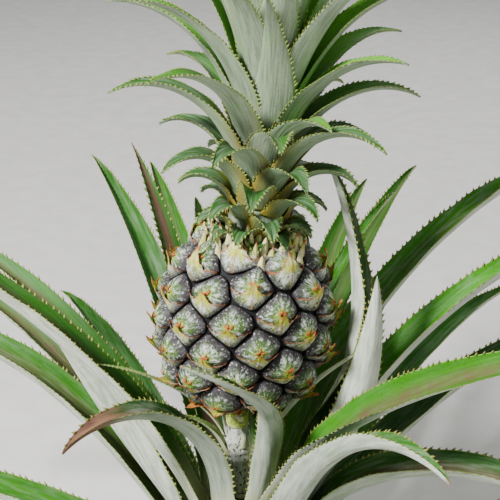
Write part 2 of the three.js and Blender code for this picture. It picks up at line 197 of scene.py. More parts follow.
def turned_outward(skin: Skin) -> Skin:
    """The skin with its faces reversed if the volume that they enclose comes out negative.

    The volume is a sixth of the sum of corner triple products over the fan of each face.

    Args:
        skin: a closed surface whose faces all wind the same way.

    Returns:
        The surface with its faces outward.
    """
    corners = skin.points[skin.faces]
    second = np.where(skin.faces[:, 3, None] == NO_CORNER, corners[:, 2], corners[:, 3])
    first_half = np.einsum("ij,ij->i", corners[:, 0], np.cross(corners[:, 1], corners[:, 2]))
    second_half = np.einsum("ij,ij->i", corners[:, 0], np.cross(corners[:, 2], second))
    if first_half.sum() + second_half.sum() >= 0.0:
        return skin
    quads = [3, 2, 1, 0]
    triangles = [2, 1, 0, 3]
    order = np.where(skin.faces[:, 3, None] == NO_CORNER, triangles, quads)

    def reordered(rows: np.ndarray) -> np.ndarray:
        """Rows with each face's corners in the new order."""
        index = order.reshape(order.shape + (1,) * (rows.ndim - 2))
        return np.take_along_axis(rows, index, axis=1)

    return Skin(
        skin.points,
        reordered(skin.faces),
        reordered(skin.blade_map),
        reordered(skin.bake_map),
        {name: reordered(rows) for name, rows in skin.values.items()},
    )


def grid_corners(rows: int, columns: int) -> np.ndarray:
    """Corner indices of the quads of a grid that is numbered row by row.

    Args:
        rows: points along the first parameter.
        columns: points along the second one.

    Returns:
        An array with four indices for each quad.
    """
    index = np.arange(rows * columns).reshape(rows, columns)
    quads = [index[:-1, :-1], index[1:, :-1], index[1:, 1:], index[:-1, 1:]]
    return np.stack([quad.ravel() for quad in quads], axis=1)


@dataclass(frozen=True)
class Tile:
    """A rectangle of the bake map that one surface has to itself."""

    left: float = 0.0
    bottom: float = 0.0
    width: float = 1.0
    height: float = 1.0

    def at(self, across: np.ndarray, up: np.ndarray) -> np.ndarray:
        """Map places for shares of the tile, kept a little inside its border.

        Args:
            across: shares of the tile's width.
            up: shares of its height.

        Returns:
            Places in the bake map.
        """
        inset = 0.012
        x = self.left + self.width * (inset + (1.0 - 2.0 * inset) * across)
        y = self.bottom + self.height * (inset + (1.0 - 2.0 * inset) * up)
        return np.stack([x, y], axis=-1)

    def part(self, low: float, high: float) -> "Tile":
        """The part of the tile between two shares of its height."""
        return Tile(self.left, self.bottom + low * self.height, self.width, (high - low) * self.height)


def tiles(count: int, columns: int) -> list[Tile]:
    """Equal tiles for a number of surfaces.

    Args:
        count: how many surfaces share the bake map.
        columns: how many tiles stand in a row.

    Returns:
        A tile for each surface.
    """
    rows = -(-count // columns)
    places = [divmod(k, columns) for k in range(count)]
    return [Tile(column / columns, row / rows, 1 / columns, 1 / rows) for row, column in places]


def closed_sheet(
    top: np.ndarray,
    under: np.ndarray,
    place: np.ndarray,
    tile: Tile,
    values: dict[str, tuple[Grid, Grid]],
) -> Skin:
    """A thin closed body from two grids of points: its top, its underside and the walls between their rims.

    Args:
        top: points of the upper face, rows by columns by 3.
        under: points of the lower face, on the same grid.
        place: distance along and across in millimetres for each point of the grid.
        tile: the part of the bake map that the body gets.
        values: for each named value, its grids on the top and on the underside.

    Returns:
        The closed skin.
    """
    rows, columns = top.shape[:2]
    count = rows * columns
    quads = grid_corners(rows, columns)
    rim = np.concatenate(
        [
            np.arange(columns),
            np.arange(1, rows) * columns + columns - 1,
            count - 2 - np.arange(columns - 1),
            (np.arange(rows - 2, 0, -1)) * columns,
        ]
    )
    following = np.roll(rim, -1)
    walls = np.stack([following, rim, rim + count, following + count], axis=1)
    faces = np.concatenate([quads[:, ::-1], quads + count, walls])

    along, across = np.meshgrid(np.linspace(0, 1, rows), np.linspace(0, 1, columns), indexing="ij")
    face_share = (1.0 - WALL_SHARE) / 2.0
    top_map = tile.part(0.0, face_share).at(along, across).reshape(-1, 2)[quads[:, ::-1]]
    under_map = tile.part(face_share, 2.0 * face_share).at(along, across).reshape(-1, 2)[quads]
    share = np.arange(len(rim) + 1) / len(rim)
    strip = tile.part(2.0 * face_share, 1.0)
    corners = ((share[1:], 1.0), (share[:-1], 1.0), (share[:-1], 0.0), (share[1:], 0.0))
    wall_map = np.stack([strip.at(x, np.full(len(rim), y)) for x, y in corners], axis=1)
    flat = place.reshape(-1, 2) / MAP_UNIT
    placed = np.concatenate([flat[quads[:, ::-1]], flat[quads], flat[walls % count]])

    def corners_of(grids: tuple[Grid, Grid]) -> np.ndarray:
        """A value at each corner of the top, the underside and the walls.

        Args:
            grids: the value on the top and on the underside.

        Returns:
            Rows of four corners.
        """
        upper, lower = (np.broadcast_to(grid, (rows, columns)).reshape(-1) for grid in grids)
        both = np.concatenate([upper, lower])
        return np.concatenate([upper[quads[:, ::-1]], lower[quads], both[walls]])

    return turned_outward(
        Skin(
            np.concatenate([top.reshape(-1, 3), under.reshape(-1, 3)]),
            faces,
            placed,
            np.concatenate([top_map, under_map, wall_map]),
            {name: corners_of(grids) for name, grids in values.items()},
        )
    )


def closed_tube(rings: np.ndarray, place: np.ndarray, tile: Tile, values: dict[str, Grid]) -> Skin:
    """A closed body from rings of points, each end drawn together in one point at its middle.

    Args:
        rings: points, rings by sides by 3.
        place: distance along and round in millimetres for each point.
        tile: the part of the bake map that the body gets.
        values: for each named value, its grid on the rings.

    Returns:
        The closed skin.
    """
    count, sides = rings.shape[:2]
    index = np.arange(count * sides).reshape(count, sides)
    ahead = np.roll(index, -1, axis=1)
    quads = np.stack([part.ravel() for part in (index[:-1], ahead[:-1], ahead[1:], index[1:])], axis=1)
    low_pole, high_pole = count * sides, count * sides + 1
    blank = np.full(sides, NO_CORNER)
    low_fan = np.stack([ahead[0], index[0], np.full(sides, low_pole), blank], axis=1)
    high_fan = np.stack([index[-1], ahead[-1], np.full(sides, high_pole), blank], axis=1)
    faces = np.concatenate([quads, low_fan, high_fan])
    poles = np.stack([rings[0].mean(axis=0), rings[-1].mean(axis=0)])

    turn = np.arange(sides) / sides
    turn_ahead = turn + 1.0 / sides
    level = np.linspace(0.0, 1.0, count)
    x_low, y_low = np.broadcast_arrays(turn[None, :], level[:-1, None])
    x_high, y_high = np.broadcast_arrays(turn_ahead[None, :], level[1:, None])
    wall = tile.part(WALL_SHARE, 1.0 - WALL_SHARE)
    corners = ((x_low, y_low), (x_high, y_low), (x_high, y_high), (x_low, y_high))
    quad_map = np.stack([wall.at(x.ravel(), y.ravel()) for x, y in corners], axis=1)

    def fan_map(part: Tile) -> np.ndarray:
        """Bake map places of one end's fan, spread out as a strip.

        Args:
            part: the part of the bake map for that end.

        Returns:
            Rows of four corners.
        """
        zero = np.zeros(sides)
        fan = ((turn_ahead, zero), (turn, zero), (turn, zero + 1.0), (turn, zero))
        return np.stack([part.at(*corner) for corner in fan], axis=1)

    def cornered(grid: Grid) -> np.ndarray:
        """A grid's values at the corners of all faces.

        Args:
            grid: one value, or one row of values, for each point of the rings.

        Returns:
            Rows of four corners. A pole takes the value of one point of its ring.
        """
        more = np.shape(grid)[2:]
        flat = np.broadcast_to(grid, (count, sides) + more).reshape((count * sides,) + more)
        flat = np.concatenate([flat, flat[:1], flat[-1:]])
        return flat[np.where(faces == NO_CORNER, 0, faces)]

    ends = [fan_map(tile.part(0.0, WALL_SHARE)), fan_map(tile.part(1.0 - WALL_SHARE, 1.0))]
    return turned_outward(
        Skin(
            np.concatenate([rings.reshape(-1, 3), poles]),
            faces,
            cornered(place / MAP_UNIT),
            np.concatenate([quad_map] + ends),
            {name: cornered(grid) for name, grid in values.items()},
        )
    )


def in_scene(name: str, data: bpy.types.ID) -> bpy.types.Object:
    """A new object that holds a mesh, a lamp or a camera, linked to the scene."""
    made = bpy.data.objects.new(name, data)
    bpy.context.scene.collection.objects.link(made)
    return made


def written(name: str, skin: Skin, material: bpy.types.Material) -> bpy.types.Object:
    """Write a skin to a new mesh object at the origin.

    Args:
        name: the piece's name.
        skin: its surface in millimetres.
        material: the finish it wears.

    Returns:
        The object, smooth shaded, with the skin's maps and values on its corners.
    """
    held = skin.faces != NO_CORNER
    mesh = bpy.data.meshes.new(name)
    mesh.vertices.add(len(skin.points))
    mesh.vertices.foreach_set("co", (skin.points * MM).astype(np.float32).ravel())
    mesh.loops.add(int(held.sum()))
    mesh.loops.foreach_set("vertex_index", skin.faces[held].astype(np.int32))
    mesh.polygons.add(len(skin.faces))
    starts = np.concatenate([[0], np.cumsum(held.sum(1))[:-1]])
    mesh.polygons.foreach_set("loop_start", starts.astype(np.int32))
    mesh.update(calc_edges=True)
    for map_name, places in ((BLADE_MAP, skin.blade_map), (BAKE_MAP, skin.bake_map)):
        layer = mesh.uv_layers.new(name=map_name, do_init=False)
        layer.uv.foreach_set("vector", places[held].astype(np.float32).ravel())
    for value_name, corners in skin.values.items():
        attribute = mesh.attributes.new(value_name, "FLOAT", "CORNER")
        attribute.data.foreach_set("value", corners[held].astype(np.float32))
    mesh.polygons.foreach_set("use_smooth", np.ones(len(skin.faces), bool))
    mesh.materials.append(material)
    return in_scene(name, mesh)


def placed_piece(name: str, skin: Skin, material: bpy.types.Material, slot: str, *nodes: str) -> None:
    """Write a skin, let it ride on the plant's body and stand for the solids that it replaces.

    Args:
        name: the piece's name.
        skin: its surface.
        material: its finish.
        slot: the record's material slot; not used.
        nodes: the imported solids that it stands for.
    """
    piece = written(name, skin, material)
    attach(piece, BODY)
    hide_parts(*nodes)
    LOG.info("%s: %d faces", name, len(skin.faces))


# Finishes


def add(tree: Tree, kind: str, inputs: dict | None = None, **settings: object) -> bpy.types.Node:
    """Add a shader node with its settings and links.

    Args:
        tree: the material's node tree.
        kind: the node's type without its "ShaderNode" in front.
        inputs: for each input socket, by name or number, a value or the output that feeds it.
        settings: the node's own properties.

    Returns:
        The node.
    """
    node = tree.nodes.new("ShaderNode" + kind)
    for name, value in settings.items():
        setattr(node, name, value)
    for socket, value in (inputs or {}).items():
        if isinstance(value, Socket):
            tree.links.new(value, node.inputs[socket])
        else:
            node.inputs[socket].default_value = value
    return node


@dataclass(frozen=True)
class Coat:
    """A colour over what lies below it: none where a value is at bare, the most of it at full."""

    colour: Colour
    by: Socket
    bare: float
    full: float
    most: Amount = 1.0


def coated(tree: Tree, base: Colour, coats: list[Coat]) -> Socket:
    """Lay coats over a base colour, one after another.

    Args:
        tree: the material's node tree.
        base: the lowest colour, as an output or a hex colour.
        coats: what is laid over it, the lowest first.

    Returns:
        The output that holds the colour seen.
    """
    laid = base
    for coat in coats:
        reach = {0: coat.by, 1: coat.bare, 2: coat.full, 4: coat.most}
        amount = add(tree, "MapRange", reach, interpolation_type="SMOOTHSTEP").outputs[0]
        below, above = (linear(c) if isinstance(c, str) else c for c in (laid, coat.colour))
        laid = add(tree, "Mix", {0: amount, 6: below, 7: above}, data_type="RGBA").outputs[2]
    return laid


def radial_streaks(tree: Tree, reach: Socket, rank: Socket) -> Socket:
    """A noise in streaks that run from an eye's middle to its groove, different on every eye.

    It is read on a unit circle about the eye's middle, which changes fast round the eye, at a height
    that grows slowly with the reach and is shifted by the rank.

    Args:
        tree: the material's node tree.
        reach: output that holds the share of the way from the middle to the groove.
        rank: output that holds the eye's rank on the fruit.

    Returns:
        The noise's output.
    """
    place = add(tree, "UVMap", uv_map=BLADE_MAP).outputs[0]
    way = add(tree, "VectorMath", {0: place}, operation="NORMALIZE").outputs[0]
    slow = add(tree, "Math", {0: reach, 1: 2.2}, operation="MULTIPLY").outputs[0]
    height = add(tree, "Math", {0: rank, 1: 97.0, 2: slow}, operation="MULTIPLY_ADD").outputs[0]
    level = add(tree, "CombineXYZ", {2: height}).outputs[0]
    read = add(tree, "VectorMath", {0: way, 1: (3.4, 3.4, 0.0), 2: level}, operation="MULTIPLY_ADD")
    fineness = {"Vector": read.outputs[0], "Scale": 1.0, "Detail": 4.5, "Roughness": 0.66}
    return add(tree, "TexNoise", fineness).outputs[0]


def new_material(name: str) -> tuple[bpy.types.Material, Tree]:
    """Make an empty node material.

    Args:
        name: the finish's name.

    Returns:
        The material and its node tree.
    """
    material = bpy.data.materials.new(name)
    material.use_nodes = True
    material.node_tree.nodes.clear()
    return material, material.node_tree


def surface(
    tree: Tree, colour: Socket, roughness: Amount, height: Socket, relief: float, **constants: float
) -> None:
    """End a material's tree with its shader.

    Args:
        tree: the material's node tree.
        colour: output that holds the colour.
        roughness: output or number.
        height: output that holds the relief's height, from 0 to 1.
        relief: depth of that relief, in millimetres.
        constants: numbers that are the same all over, by the shader socket's name with underscores.
    """
    bump = add(tree, "Bump", {"Height": height, "Distance": relief * MM, "Strength": 1.0})
    inputs = {"Base Color": colour, "Roughness": roughness, "Normal": bump.outputs[0]}
    inputs.update({name.replace("_", " "): value for name, value in constants.items()})
    shader = add(tree, "BsdfPrincipled", inputs)
    add(tree, "OutputMaterial", {"Surface": shader.outputs[0]})


@dataclass(frozen=True)
class LeafTissue:
    """A bromeliad leaf: smooth waxy green above, a felt of pale scales in fine lines below.

    The upper face gives soft broad highlights and longitudinal streaks; the lower one is matte silver
    grey with darker lines between the rows of scales. The margin is pale and its spines are
    green with brown points.
    """

    name: str
    deep: str = "#27521b"
    bright: str = "#429500"
    bronze: str = "#63473a"
    felt: str = "#d6dacd"
    felt_shade: str = "#a1ab97"
    grain: str = "#7d8973"
    margin: str = "#9bb055"
    margin_cover: float = 0.6
    amber: str = "#b98c2f"
    foot: str = "#ced2a6"
    foot_reach: float = 0.17  # share of the length over which the foot's colour fades out
    dry: str = "#8d6853"
    dry_shade: str = "#60453a"
    spine: str = "#959f52"
    spine_point: str = "#86532f"
    streak_length: float = 125.0  # mm
    streak_pitch: float = 1.2  # mm between the upper face's streaks
    felt_length: float = 25.0  # mm
    felt_pitch: float = 1.1  # mm between rows of scales, drawn twice as coarse as real ones so they show
    cloud_size: float = 20.0  # mm
    grain_size: float = 1.6  # mm, for flecks of several scales each
    wax_roughness: float = 0.52
    felt_roughness: float = 0.72
    relief: float = 0.5  # mm

    def build(self) -> bpy.types.Material:
        """Make the material from the corner values that every blade carries.

        The upper face, the lower one, withered tissue and the spines each have colours of their own,
        and the values say where each shows.

        Returns:
            The material.
        """
        material, tree = new_material(self.name)
        place = add(tree, "UVMap", uv_map=BLADE_MAP).outputs[0]
        value = {
            name: add(tree, "Attribute", attribute_name=name).outputs["Fac"] for name in BLADE_VALUES
        }
        from_middle = add(tree, "Math", {0: value["across"]}, operation="ABSOLUTE").outputs[0]
        cells = (
            (self.streak_length, 2.0 * self.streak_pitch),
            (self.felt_length, 2.0 * self.felt_pitch),
            (self.cloud_size, self.cloud_size),
            (self.grain_size, self.grain_size),
        )
        drawn = [
            add(tree, "Mapping", {"Vector": place, "Scale": (MAP_UNIT / along, MAP_UNIT / across, 1.0)})
            for along, across in cells
        ]
        fineness = {"Scale": 1.0, "Detail": 3.5, "Roughness": 0.6}
        streaks, felt_lines, clouds, grain = (
            add(tree, "TexNoise", fineness | {"Vector": where.outputs[0]}).outputs[0] for where in drawn
        )
        # A value of each blade brightens or deepens the upper green: its tone, and painted light and shade
        # where a leaf lies in shadow or is shaded
        lit = {0: streaks, 1: 0.9, 2: value["tone_and_painted_light"]}
        green = add(tree, "Math", lit, operation="MULTIPLY_ADD").outputs[0]
        cloudy = add(tree, "Math", {0: clouds, 1: value["bronze"]}, operation="MULTIPLY").outputs[0]
        cloudy = add(tree, "Math", {0: cloudy, 1: 2.1}, operation="MULTIPLY", use_clamp=True).outputs[0]
        upper = coated(
            tree,
            self.deep,
            [
                Coat(self.bright, green, 0.1, 1.2),
                Coat(self.deep, grain, 0.5, 0.7, 0.5),
                Coat(self.bronze, from_middle, 0.62, 0.12, cloudy),
                Coat(self.felt_shade, felt_lines, 0.4, 0.68, value["scurf"]),
            ],
        )
        lower = coated(
            tree,
            self.felt_shade,
            [
                Coat(self.felt, felt_lines, 0.26, 0.68),
                Coat(self.bright, clouds, 0.45, 0.8, 0.25),
                Coat(self.grain, grain, 0.56, 0.72, 0.5),
                # Painted shade: the underside darkens on blades whose value is below zero
                Coat(self.deep, value["tone_and_painted_light"], 0.0, -0.9, 0.55),
            ],
        )
        slant = {0: from_middle, 1: -0.4 * self.foot_reach, 2: value["along"]}
        foot = add(tree, "Math", slant, operation="MULTIPLY_ADD").outputs[0]
        withered = add(tree, "Math", {0: value["dry"], 1: streaks}, operation="ADD").outputs[0]
        straw = coated(tree, self.dry, [Coat(self.dry_shade, felt_lines, 0.4, 0.66, 0.9)])
        thorn = coated(tree, self.spine, [Coat(self.spine_point, value["spine"], 0.55, 1.0)])
        colour = coated(
            tree,
            upper,
            [
                Coat(lower, value["under"], 0.2, 0.8),
                Coat(self.margin, from_middle, 0.9, 0.985, self.margin_cover),
                Coat(self.foot, foot, self.foot_reach, 0.0, 0.9),
                Coat(self.amber, value["amber"], 0.05, 0.8, 0.85),
                Coat(straw, withered, 0.8, 1.25),
                Coat(thorn, value["spine"], 0.0, 0.3),
            ],
        )
        sides = {0: value["under"], 3: self.wax_roughness, 4: self.felt_roughness}
        roughness = add(tree, "MapRange", sides).outputs[0]
        height = add(tree, "Mix", {0: value["under"], 2: streaks, 3: felt_lines}).outputs[0]
        surface(tree, colour, roughness, height, self.relief, IOR=1.45, Specular_IOR_Level=0.28)
        return material


@dataclass(frozen=True)
class EyeRind:
    """The rind of a fruitlet: a dark waxy dome under silver scurf in streaks, with dark and pale flecks.

    It is matte, turns green and yellow green towards its middle with a dried brown tuft, and grows
    dark down its flanks, partly as painted shade, into a groove painted near black as shade. The fruitlets
    next to the crown are young and pale.
    """

    name: str = "Pineapple rind"
    # dark rind, deepened down the flanks towards the groove in part as painted shade
    dark_rind_and_shade: str = "#363034"
    green: str = "#48662a"
    light_green: str = "#9cba38"
    scurf: str = "#dcdfda"
    speck: str = "#232227"
    tuft: str = "#a8552f"
    young: str = "#dcdcae"
    # Painted shade: near black in the groove between the eyes
    groove: str = "#060405"
    patch_size: float = 5.0  # mm
    speck_size: float = 1.5  # mm, three times as coarse as real ones so they show
    fleck_size: float = 1.7  # mm, three times as coarse as real ones
    roughness: float = 0.68
    relief: float = 0.5  # mm

    def build(self) -> bpy.types.Material:
        """Make the material from how far a point reaches from the eye's middle and the eye's rank.

        Returns:
            The material.
        """
        material, tree = new_material(self.name)
        place = add(tree, "TexCoord").outputs["Object"]
        reach, rank = (
            add(tree, "Attribute", attribute_name=name).outputs["Fac"] for name in EYE_VALUES
        )
        patches, specks, flecks = (
            add(tree, "TexNoise", {"Vector": place, "Scale": 1.0 / (size * MM), "Detail": 4.0}).outputs[0]
            for size in (self.patch_size, self.speck_size, self.fleck_size)
        )
        colour = coated(
            tree,
            self.dark_rind_and_shade,
            [
                Coat(self.green, reach, 0.92, 0.5),
                Coat(self.scurf, radial_streaks(tree, reach, rank), 0.44, 0.62, 0.85),
                Coat(self.green, patches, 0.48, 0.6, 0.8),
                Coat(self.light_green, reach, 0.46, 0.12, 0.85),
                Coat(self.speck, specks, 0.55, 0.62, 0.8),
                # The dark ground shows down the flanks and this deepens it towards the groove: dark rind,
                # and in part painted shade
                Coat(self.dark_rind_and_shade, reach, 0.5, 0.86, 0.9),
                Coat(self.scurf, flecks, 0.59, 0.67, 0.6),
                Coat(self.young, rank, 0.88, 1.0, 0.3),
                Coat(self.tuft, reach, 0.1, 0.03, 0.8),
                # Painted shade: near black in the groove
                Coat(self.groove, reach, 0.93, 0.995),
            ],
        )
        surface(tree, colour, self.roughness, specks, self.relief, IOR=1.4)
        return material


@dataclass(frozen=True)
class BractPaper:
    """The bract over the lower half of a fruitlet: fleshy and scurfy, with a dry papery margin.

    Its body is streaked silver over green and dark specks, yellow green under the beak. The margin
    and the beak's tip are orange brown and the keel is a tan streak. Towards the groove it darkens,
    partly as painted shade, and the groove is painted near black as shade.
    """

    name: str = "Fruit bract"
    green: str = "#6f8348"
    # dark rind, laid towards the groove in part as painted shade
    dark_rind_and_shade: str = "#3a373b"
    scurf: str = "#dee1da"
    speck: str = "#26252a"
    middle: str = "#c4c81e"
    rim: str = "#b0652f"
    rim_edge: str = "#4f2c18"
    beak: str = "#ab5a2c"
    keel: str = "#a87c4c"
    young: str = "#e3e0a8"
    # Painted shade: near black in the groove between the eyes
    groove: str = "#060405"
    patch_size: float = 4.6  # mm
    speck_size: float = 1.5  # mm, three times as coarse as real ones so they show
    fleck_size: float = 1.7  # mm, three times as coarse as real ones
    roughness: float = 0.68
    relief: float = 0.45  # mm

    def build(self) -> bpy.types.Material:
        """Make the material from the distances that every bract carries.

        Returns:
            The material.
        """
        material, tree = new_material(self.name)
        place = add(tree, "TexCoord").outputs["Object"]
        reach, rank, rim, keel, beak, dry = (
            add(tree, "Attribute", attribute_name=name).outputs["Fac"] for name in BRACT_VALUES
        )
        patches, specks, flecks = (
            add(tree, "TexNoise", {"Vector": place, "Scale": 1.0 / (size * MM), "Detail": 4.0}).outputs[0]
            for size in (self.patch_size, self.speck_size, self.fleck_size)
        )
        near, pale = (
            add(tree, "MapRange", reach_of, interpolation_type="SMOOTHSTEP").outputs[0]
            for reach_of in ({0: keel, 1: 7.5, 2: 1.5, 4: 0.9}, {0: rank, 1: 0.8, 2: 0.98, 4: 0.9})
        )
        ragged = add(tree, "Math", {0: specks, 1: 2.8, 2: -0.6}, operation="MULTIPLY_ADD", use_clamp=True)
        ragged = ragged.outputs[0]
        edge = add(tree, "Math", {0: patches, 1: 2.6, 2: rim}, operation="MULTIPLY_ADD").outputs[0]
        streak = add(tree, "Math", {0: specks, 1: 1.4}, operation="MULTIPLY", use_clamp=True).outputs[0]
        dried = add(tree, "Math", {0: dry, 1: patches, 2: dry}, operation="MULTIPLY_ADD").outputs[0]
        colour = coated(
            tree,
            self.green,
            [
                Coat(self.scurf, radial_streaks(tree, reach, rank), 0.38, 0.56, 0.9),
                Coat(self.green, patches, 0.52, 0.64, 0.7),
                Coat(self.speck, specks, 0.56, 0.63, 0.8),
                # Darker towards the groove: dark rind, and in part painted shade
                Coat(self.dark_rind_and_shade, reach, 0.6, 0.94, 0.82),
                Coat(self.scurf, flecks, 0.58, 0.66, 0.6),
                Coat(self.middle, rim, 8.5, 2.5, near),
                Coat(self.keel, keel, 0.9, 0.3, streak),
                Coat(self.young, beak, 0.0, 0.3, pale),
                Coat(self.rim, edge, 2.7, 1.7, ragged),
                Coat(self.rim_edge, edge, 1.7, 1.1, ragged),
                Coat(self.beak, beak, 0.55, 0.95, 0.95),
                Coat(self.rim, dried, 0.35, 0.9, 0.85),
                # Painted shade: near black in the groove
                Coat(self.groove, reach, 0.93, 0.995),
            ],
        )
        surface(tree, colour, self.roughness, specks, self.relief, IOR=1.4)
        return material


@dataclass(frozen=True)
class ScurfyStalk:
    """The fruit's stalk: matte pale scurf in patches over light green, with ridges and dark specks.

    The patterns' sizes are millimetres along the stalk and round it.
    """

    name: str = "Stalk scurf"
    green: str = "#8aa044"
    scurf: str = "#e2e3d9"
    speck: str = "#3d3630"
    ridge: tuple[float, float] = (12.5, 1.54)
    patch: tuple[float, float] = (11.0, 8.3)
    speck_size: tuple[float, float] = (2.8, 2.4)  # twice as coarse as real ones so they show
    roughness: float = 0.75
    relief: float = 0.5  # mm

    def build(self) -> bpy.types.Material:
        """Make the material from noises: ridges drawn out upwards, patches and specks.

        Returns:
            The material.
        """
        material, tree = new_material(self.name)
        place = add(tree, "UVMap", uv_map=BLADE_MAP).outputs[0]
        drawn = [
            add(tree, "Mapping", {"Vector": place, "Scale": (MAP_UNIT / along, MAP_UNIT / around, 1.0)})
            for along, around in (self.ridge, self.patch, self.speck_size)
        ]
        ridges, patches, specks = (
            add(tree, "TexNoise", {"Vector": where.outputs[0], "Scale": 1.0, "Detail": 4.0}).outputs[0]
            for where in drawn
        )
        colour = coated(
            tree,
            self.green,
            [
                Coat(self.scurf, ridges, 0.25, 0.42, 0.95),
                Coat(self.green, patches, 0.54, 0.68, 0.5),
                Coat(self.speck, specks, 0.56, 0.61, 0.9),
            ],
        )
        surface(tree, colour, self.roughness, ridges, self.relief, IOR=1.45)
        return material


@dataclass(frozen=True)
class StemFibre:
    """The old stem: dull brown fibres of dead leaf bases between pale leaf scars, without any gloss."""

    name: str = "Stem fibre"
    brown: str = "#4c3926"
    straw: str = "#a58c60"
    scar: str = "#8a7650"
    dark: str = "#241a12"
    fibre: tuple[float, float] = (50.0, 4.5)  # mm along and across, for bundles of real fibres
    cloud: tuple[float, float] = (16.0, 16.0)
    roughness: float = 0.85
    relief: float = 1.2  # mm

    def build(self) -> bpy.types.Material:
        """Make the material from fibres drawn out upwards and the scars' own value.

        Returns:
            The material.
        """
        material, tree = new_material(self.name)
        place = add(tree, "UVMap", uv_map=BLADE_MAP).outputs[0]
        scar = add(tree, "Attribute", attribute_name="scar").outputs["Fac"]
        drawn = [
            add(tree, "Mapping", {"Vector": place, "Scale": (MAP_UNIT / along, MAP_UNIT / around, 1.0)})
            for along, around in (self.fibre, self.cloud)
        ]
        fineness = {"Scale": 1.0, "Detail": 5.0, "Roughness": 0.7}
        fibres, clouds = (
            add(tree, "TexNoise", fineness | {"Vector": where.outputs[0]}).outputs[0] for where in drawn
        )
        colour = coated(
            tree,
            self.brown,
            [
                Coat(self.straw, fibres, 0.45, 0.7, 0.85),
                Coat(self.scar, scar, 0.45, 0.8, 0.7),
                Coat(self.dark, clouds, 0.5, 0.7, 0.8),
            ],
        )
        surface(tree, colour, self.roughness, fibres, self.relief, IOR=1.45)
        return material


# Blades: every leaf, bract and scale is a channelled blade along an arching line


@dataclass(frozen=True)
class Growth:
    """The line of a blade.

    It starts at foot, heading and rise are its direction there in degrees, and along it the rise falls
    by droop, mostly towards the tip where bend is high, the heading turns by sweep, and the section
    turns about the line by roll.
    """

    foot: tuple[float, float, float]
    heading: float
    rise: float
    droop: float
    length: float
    bend: float = 1.3
    sweep: float = 0.0
    roll: float = 0.0

    def frames(self, along: np.ndarray) -> tuple[np.ndarray, np.ndarray, np.ndarray]:
        """Directions at shares of the way along.

        Args:
            along: shares from 0 at the foot to 1 at the tip.

        Returns:
            Unit vectors forward, sideways, and inward off the upper face.
        """
        heading = np.radians(self.heading + self.sweep * along**1.5)
        rise = np.radians(self.rise - self.droop * along**self.bend)
        forward = about_axis(np.cos(rise), heading, np.sin(rise))
        level = stacked(-np.sin(heading), np.cos(heading), 0.0)
        turn = np.radians(self.roll) * smoothstep(along, 0.02, 0.7)[:, None]
        side = level * np.cos(turn) + np.cross(forward, level) * np.sin(turn)
        return forward, side, np.cross(forward, side)

    def line(self, along: np.ndarray) -> np.ndarray:
        """Points along the line: the foot plus the sum of the forward steps between them.

        Args:
            along: shares of the way, the first of them 0.

        Returns:
            A point for each share.
        """
        middle = (along[1:] + along[:-1]) / 2.0
        steps = self.frames(middle)[0] * (np.diff(along) * self.length)[:, None]
        return np.array(self.foot) + np.concatenate([np.zeros((1, 3)), np.cumsum(steps, axis=0)])


def blade_values(
    along: np.ndarray,
    across: np.ndarray,
    bronze: float = 0.0,
    scurf: float = 0.0,
    dry: Grid = 0.0,
    tone_and_painted_light: float = 0.0,
    amber: float = 0.0,
) -> dict[str, tuple[Grid, Grid]]:
    """The values that leaf tissue reads, on the upper and the lower face of a sheet.

    Args:
        along: shares of the way from foot to tip.
        across: from -1 on one margin to 1 on the other.
        bronze: how strongly a brown band shows above.
        scurf: how much pale scurf lies above.
        dry: how far the tissue has withered.
        tone_and_painted_light: tone, and painted light and shade: above zero a brighter green on top, below
            zero a deeper green on top and a darker underside.
        amber: how strongly the margins turn amber towards the foot.

    Returns:
        Pairs of grids by name.
    """
    edges = amber * (1.0 - smoothstep(along, 0.04, 0.65)) * np.abs(across)
    return {
        "along": (along, along),
        "across": (across, across),
        "under": (0.0, 1.0),
        "bronze": (bronze, bronze),
        "scurf": (scurf, scurf),
        "dry": (dry, dry),
        "tone_and_painted_light": (tone_and_painted_light, tone_and_painted_light),
        "amber": (edges, edges),
        "spine": (0.0, 0.0),
    }


class Section(Enum):
    """Cross-sections of blades."""

    TROUGH = "two slopes from a flat bottom"
    KEEL = "two slopes that meet along the midrib"


@dataclass(frozen=True)
class Spines:
    """The row of hooked spines on a blade's margins, in millimetres."""

    pitch: float
    height: float
    first: float = 0.1  # share of the length that stays bare at the foot
    last: float = 0.985
    breadth: float = 0.62  # half a spine's foot, as a share of its height
    reach: float = 0.82  # how far its point stands out, as a share of its height
    lean: float = 0.85  # how far its point lies towards the tip, as a share of its height
    sunk: float = 0.45  # how deep its foot lies in the margin


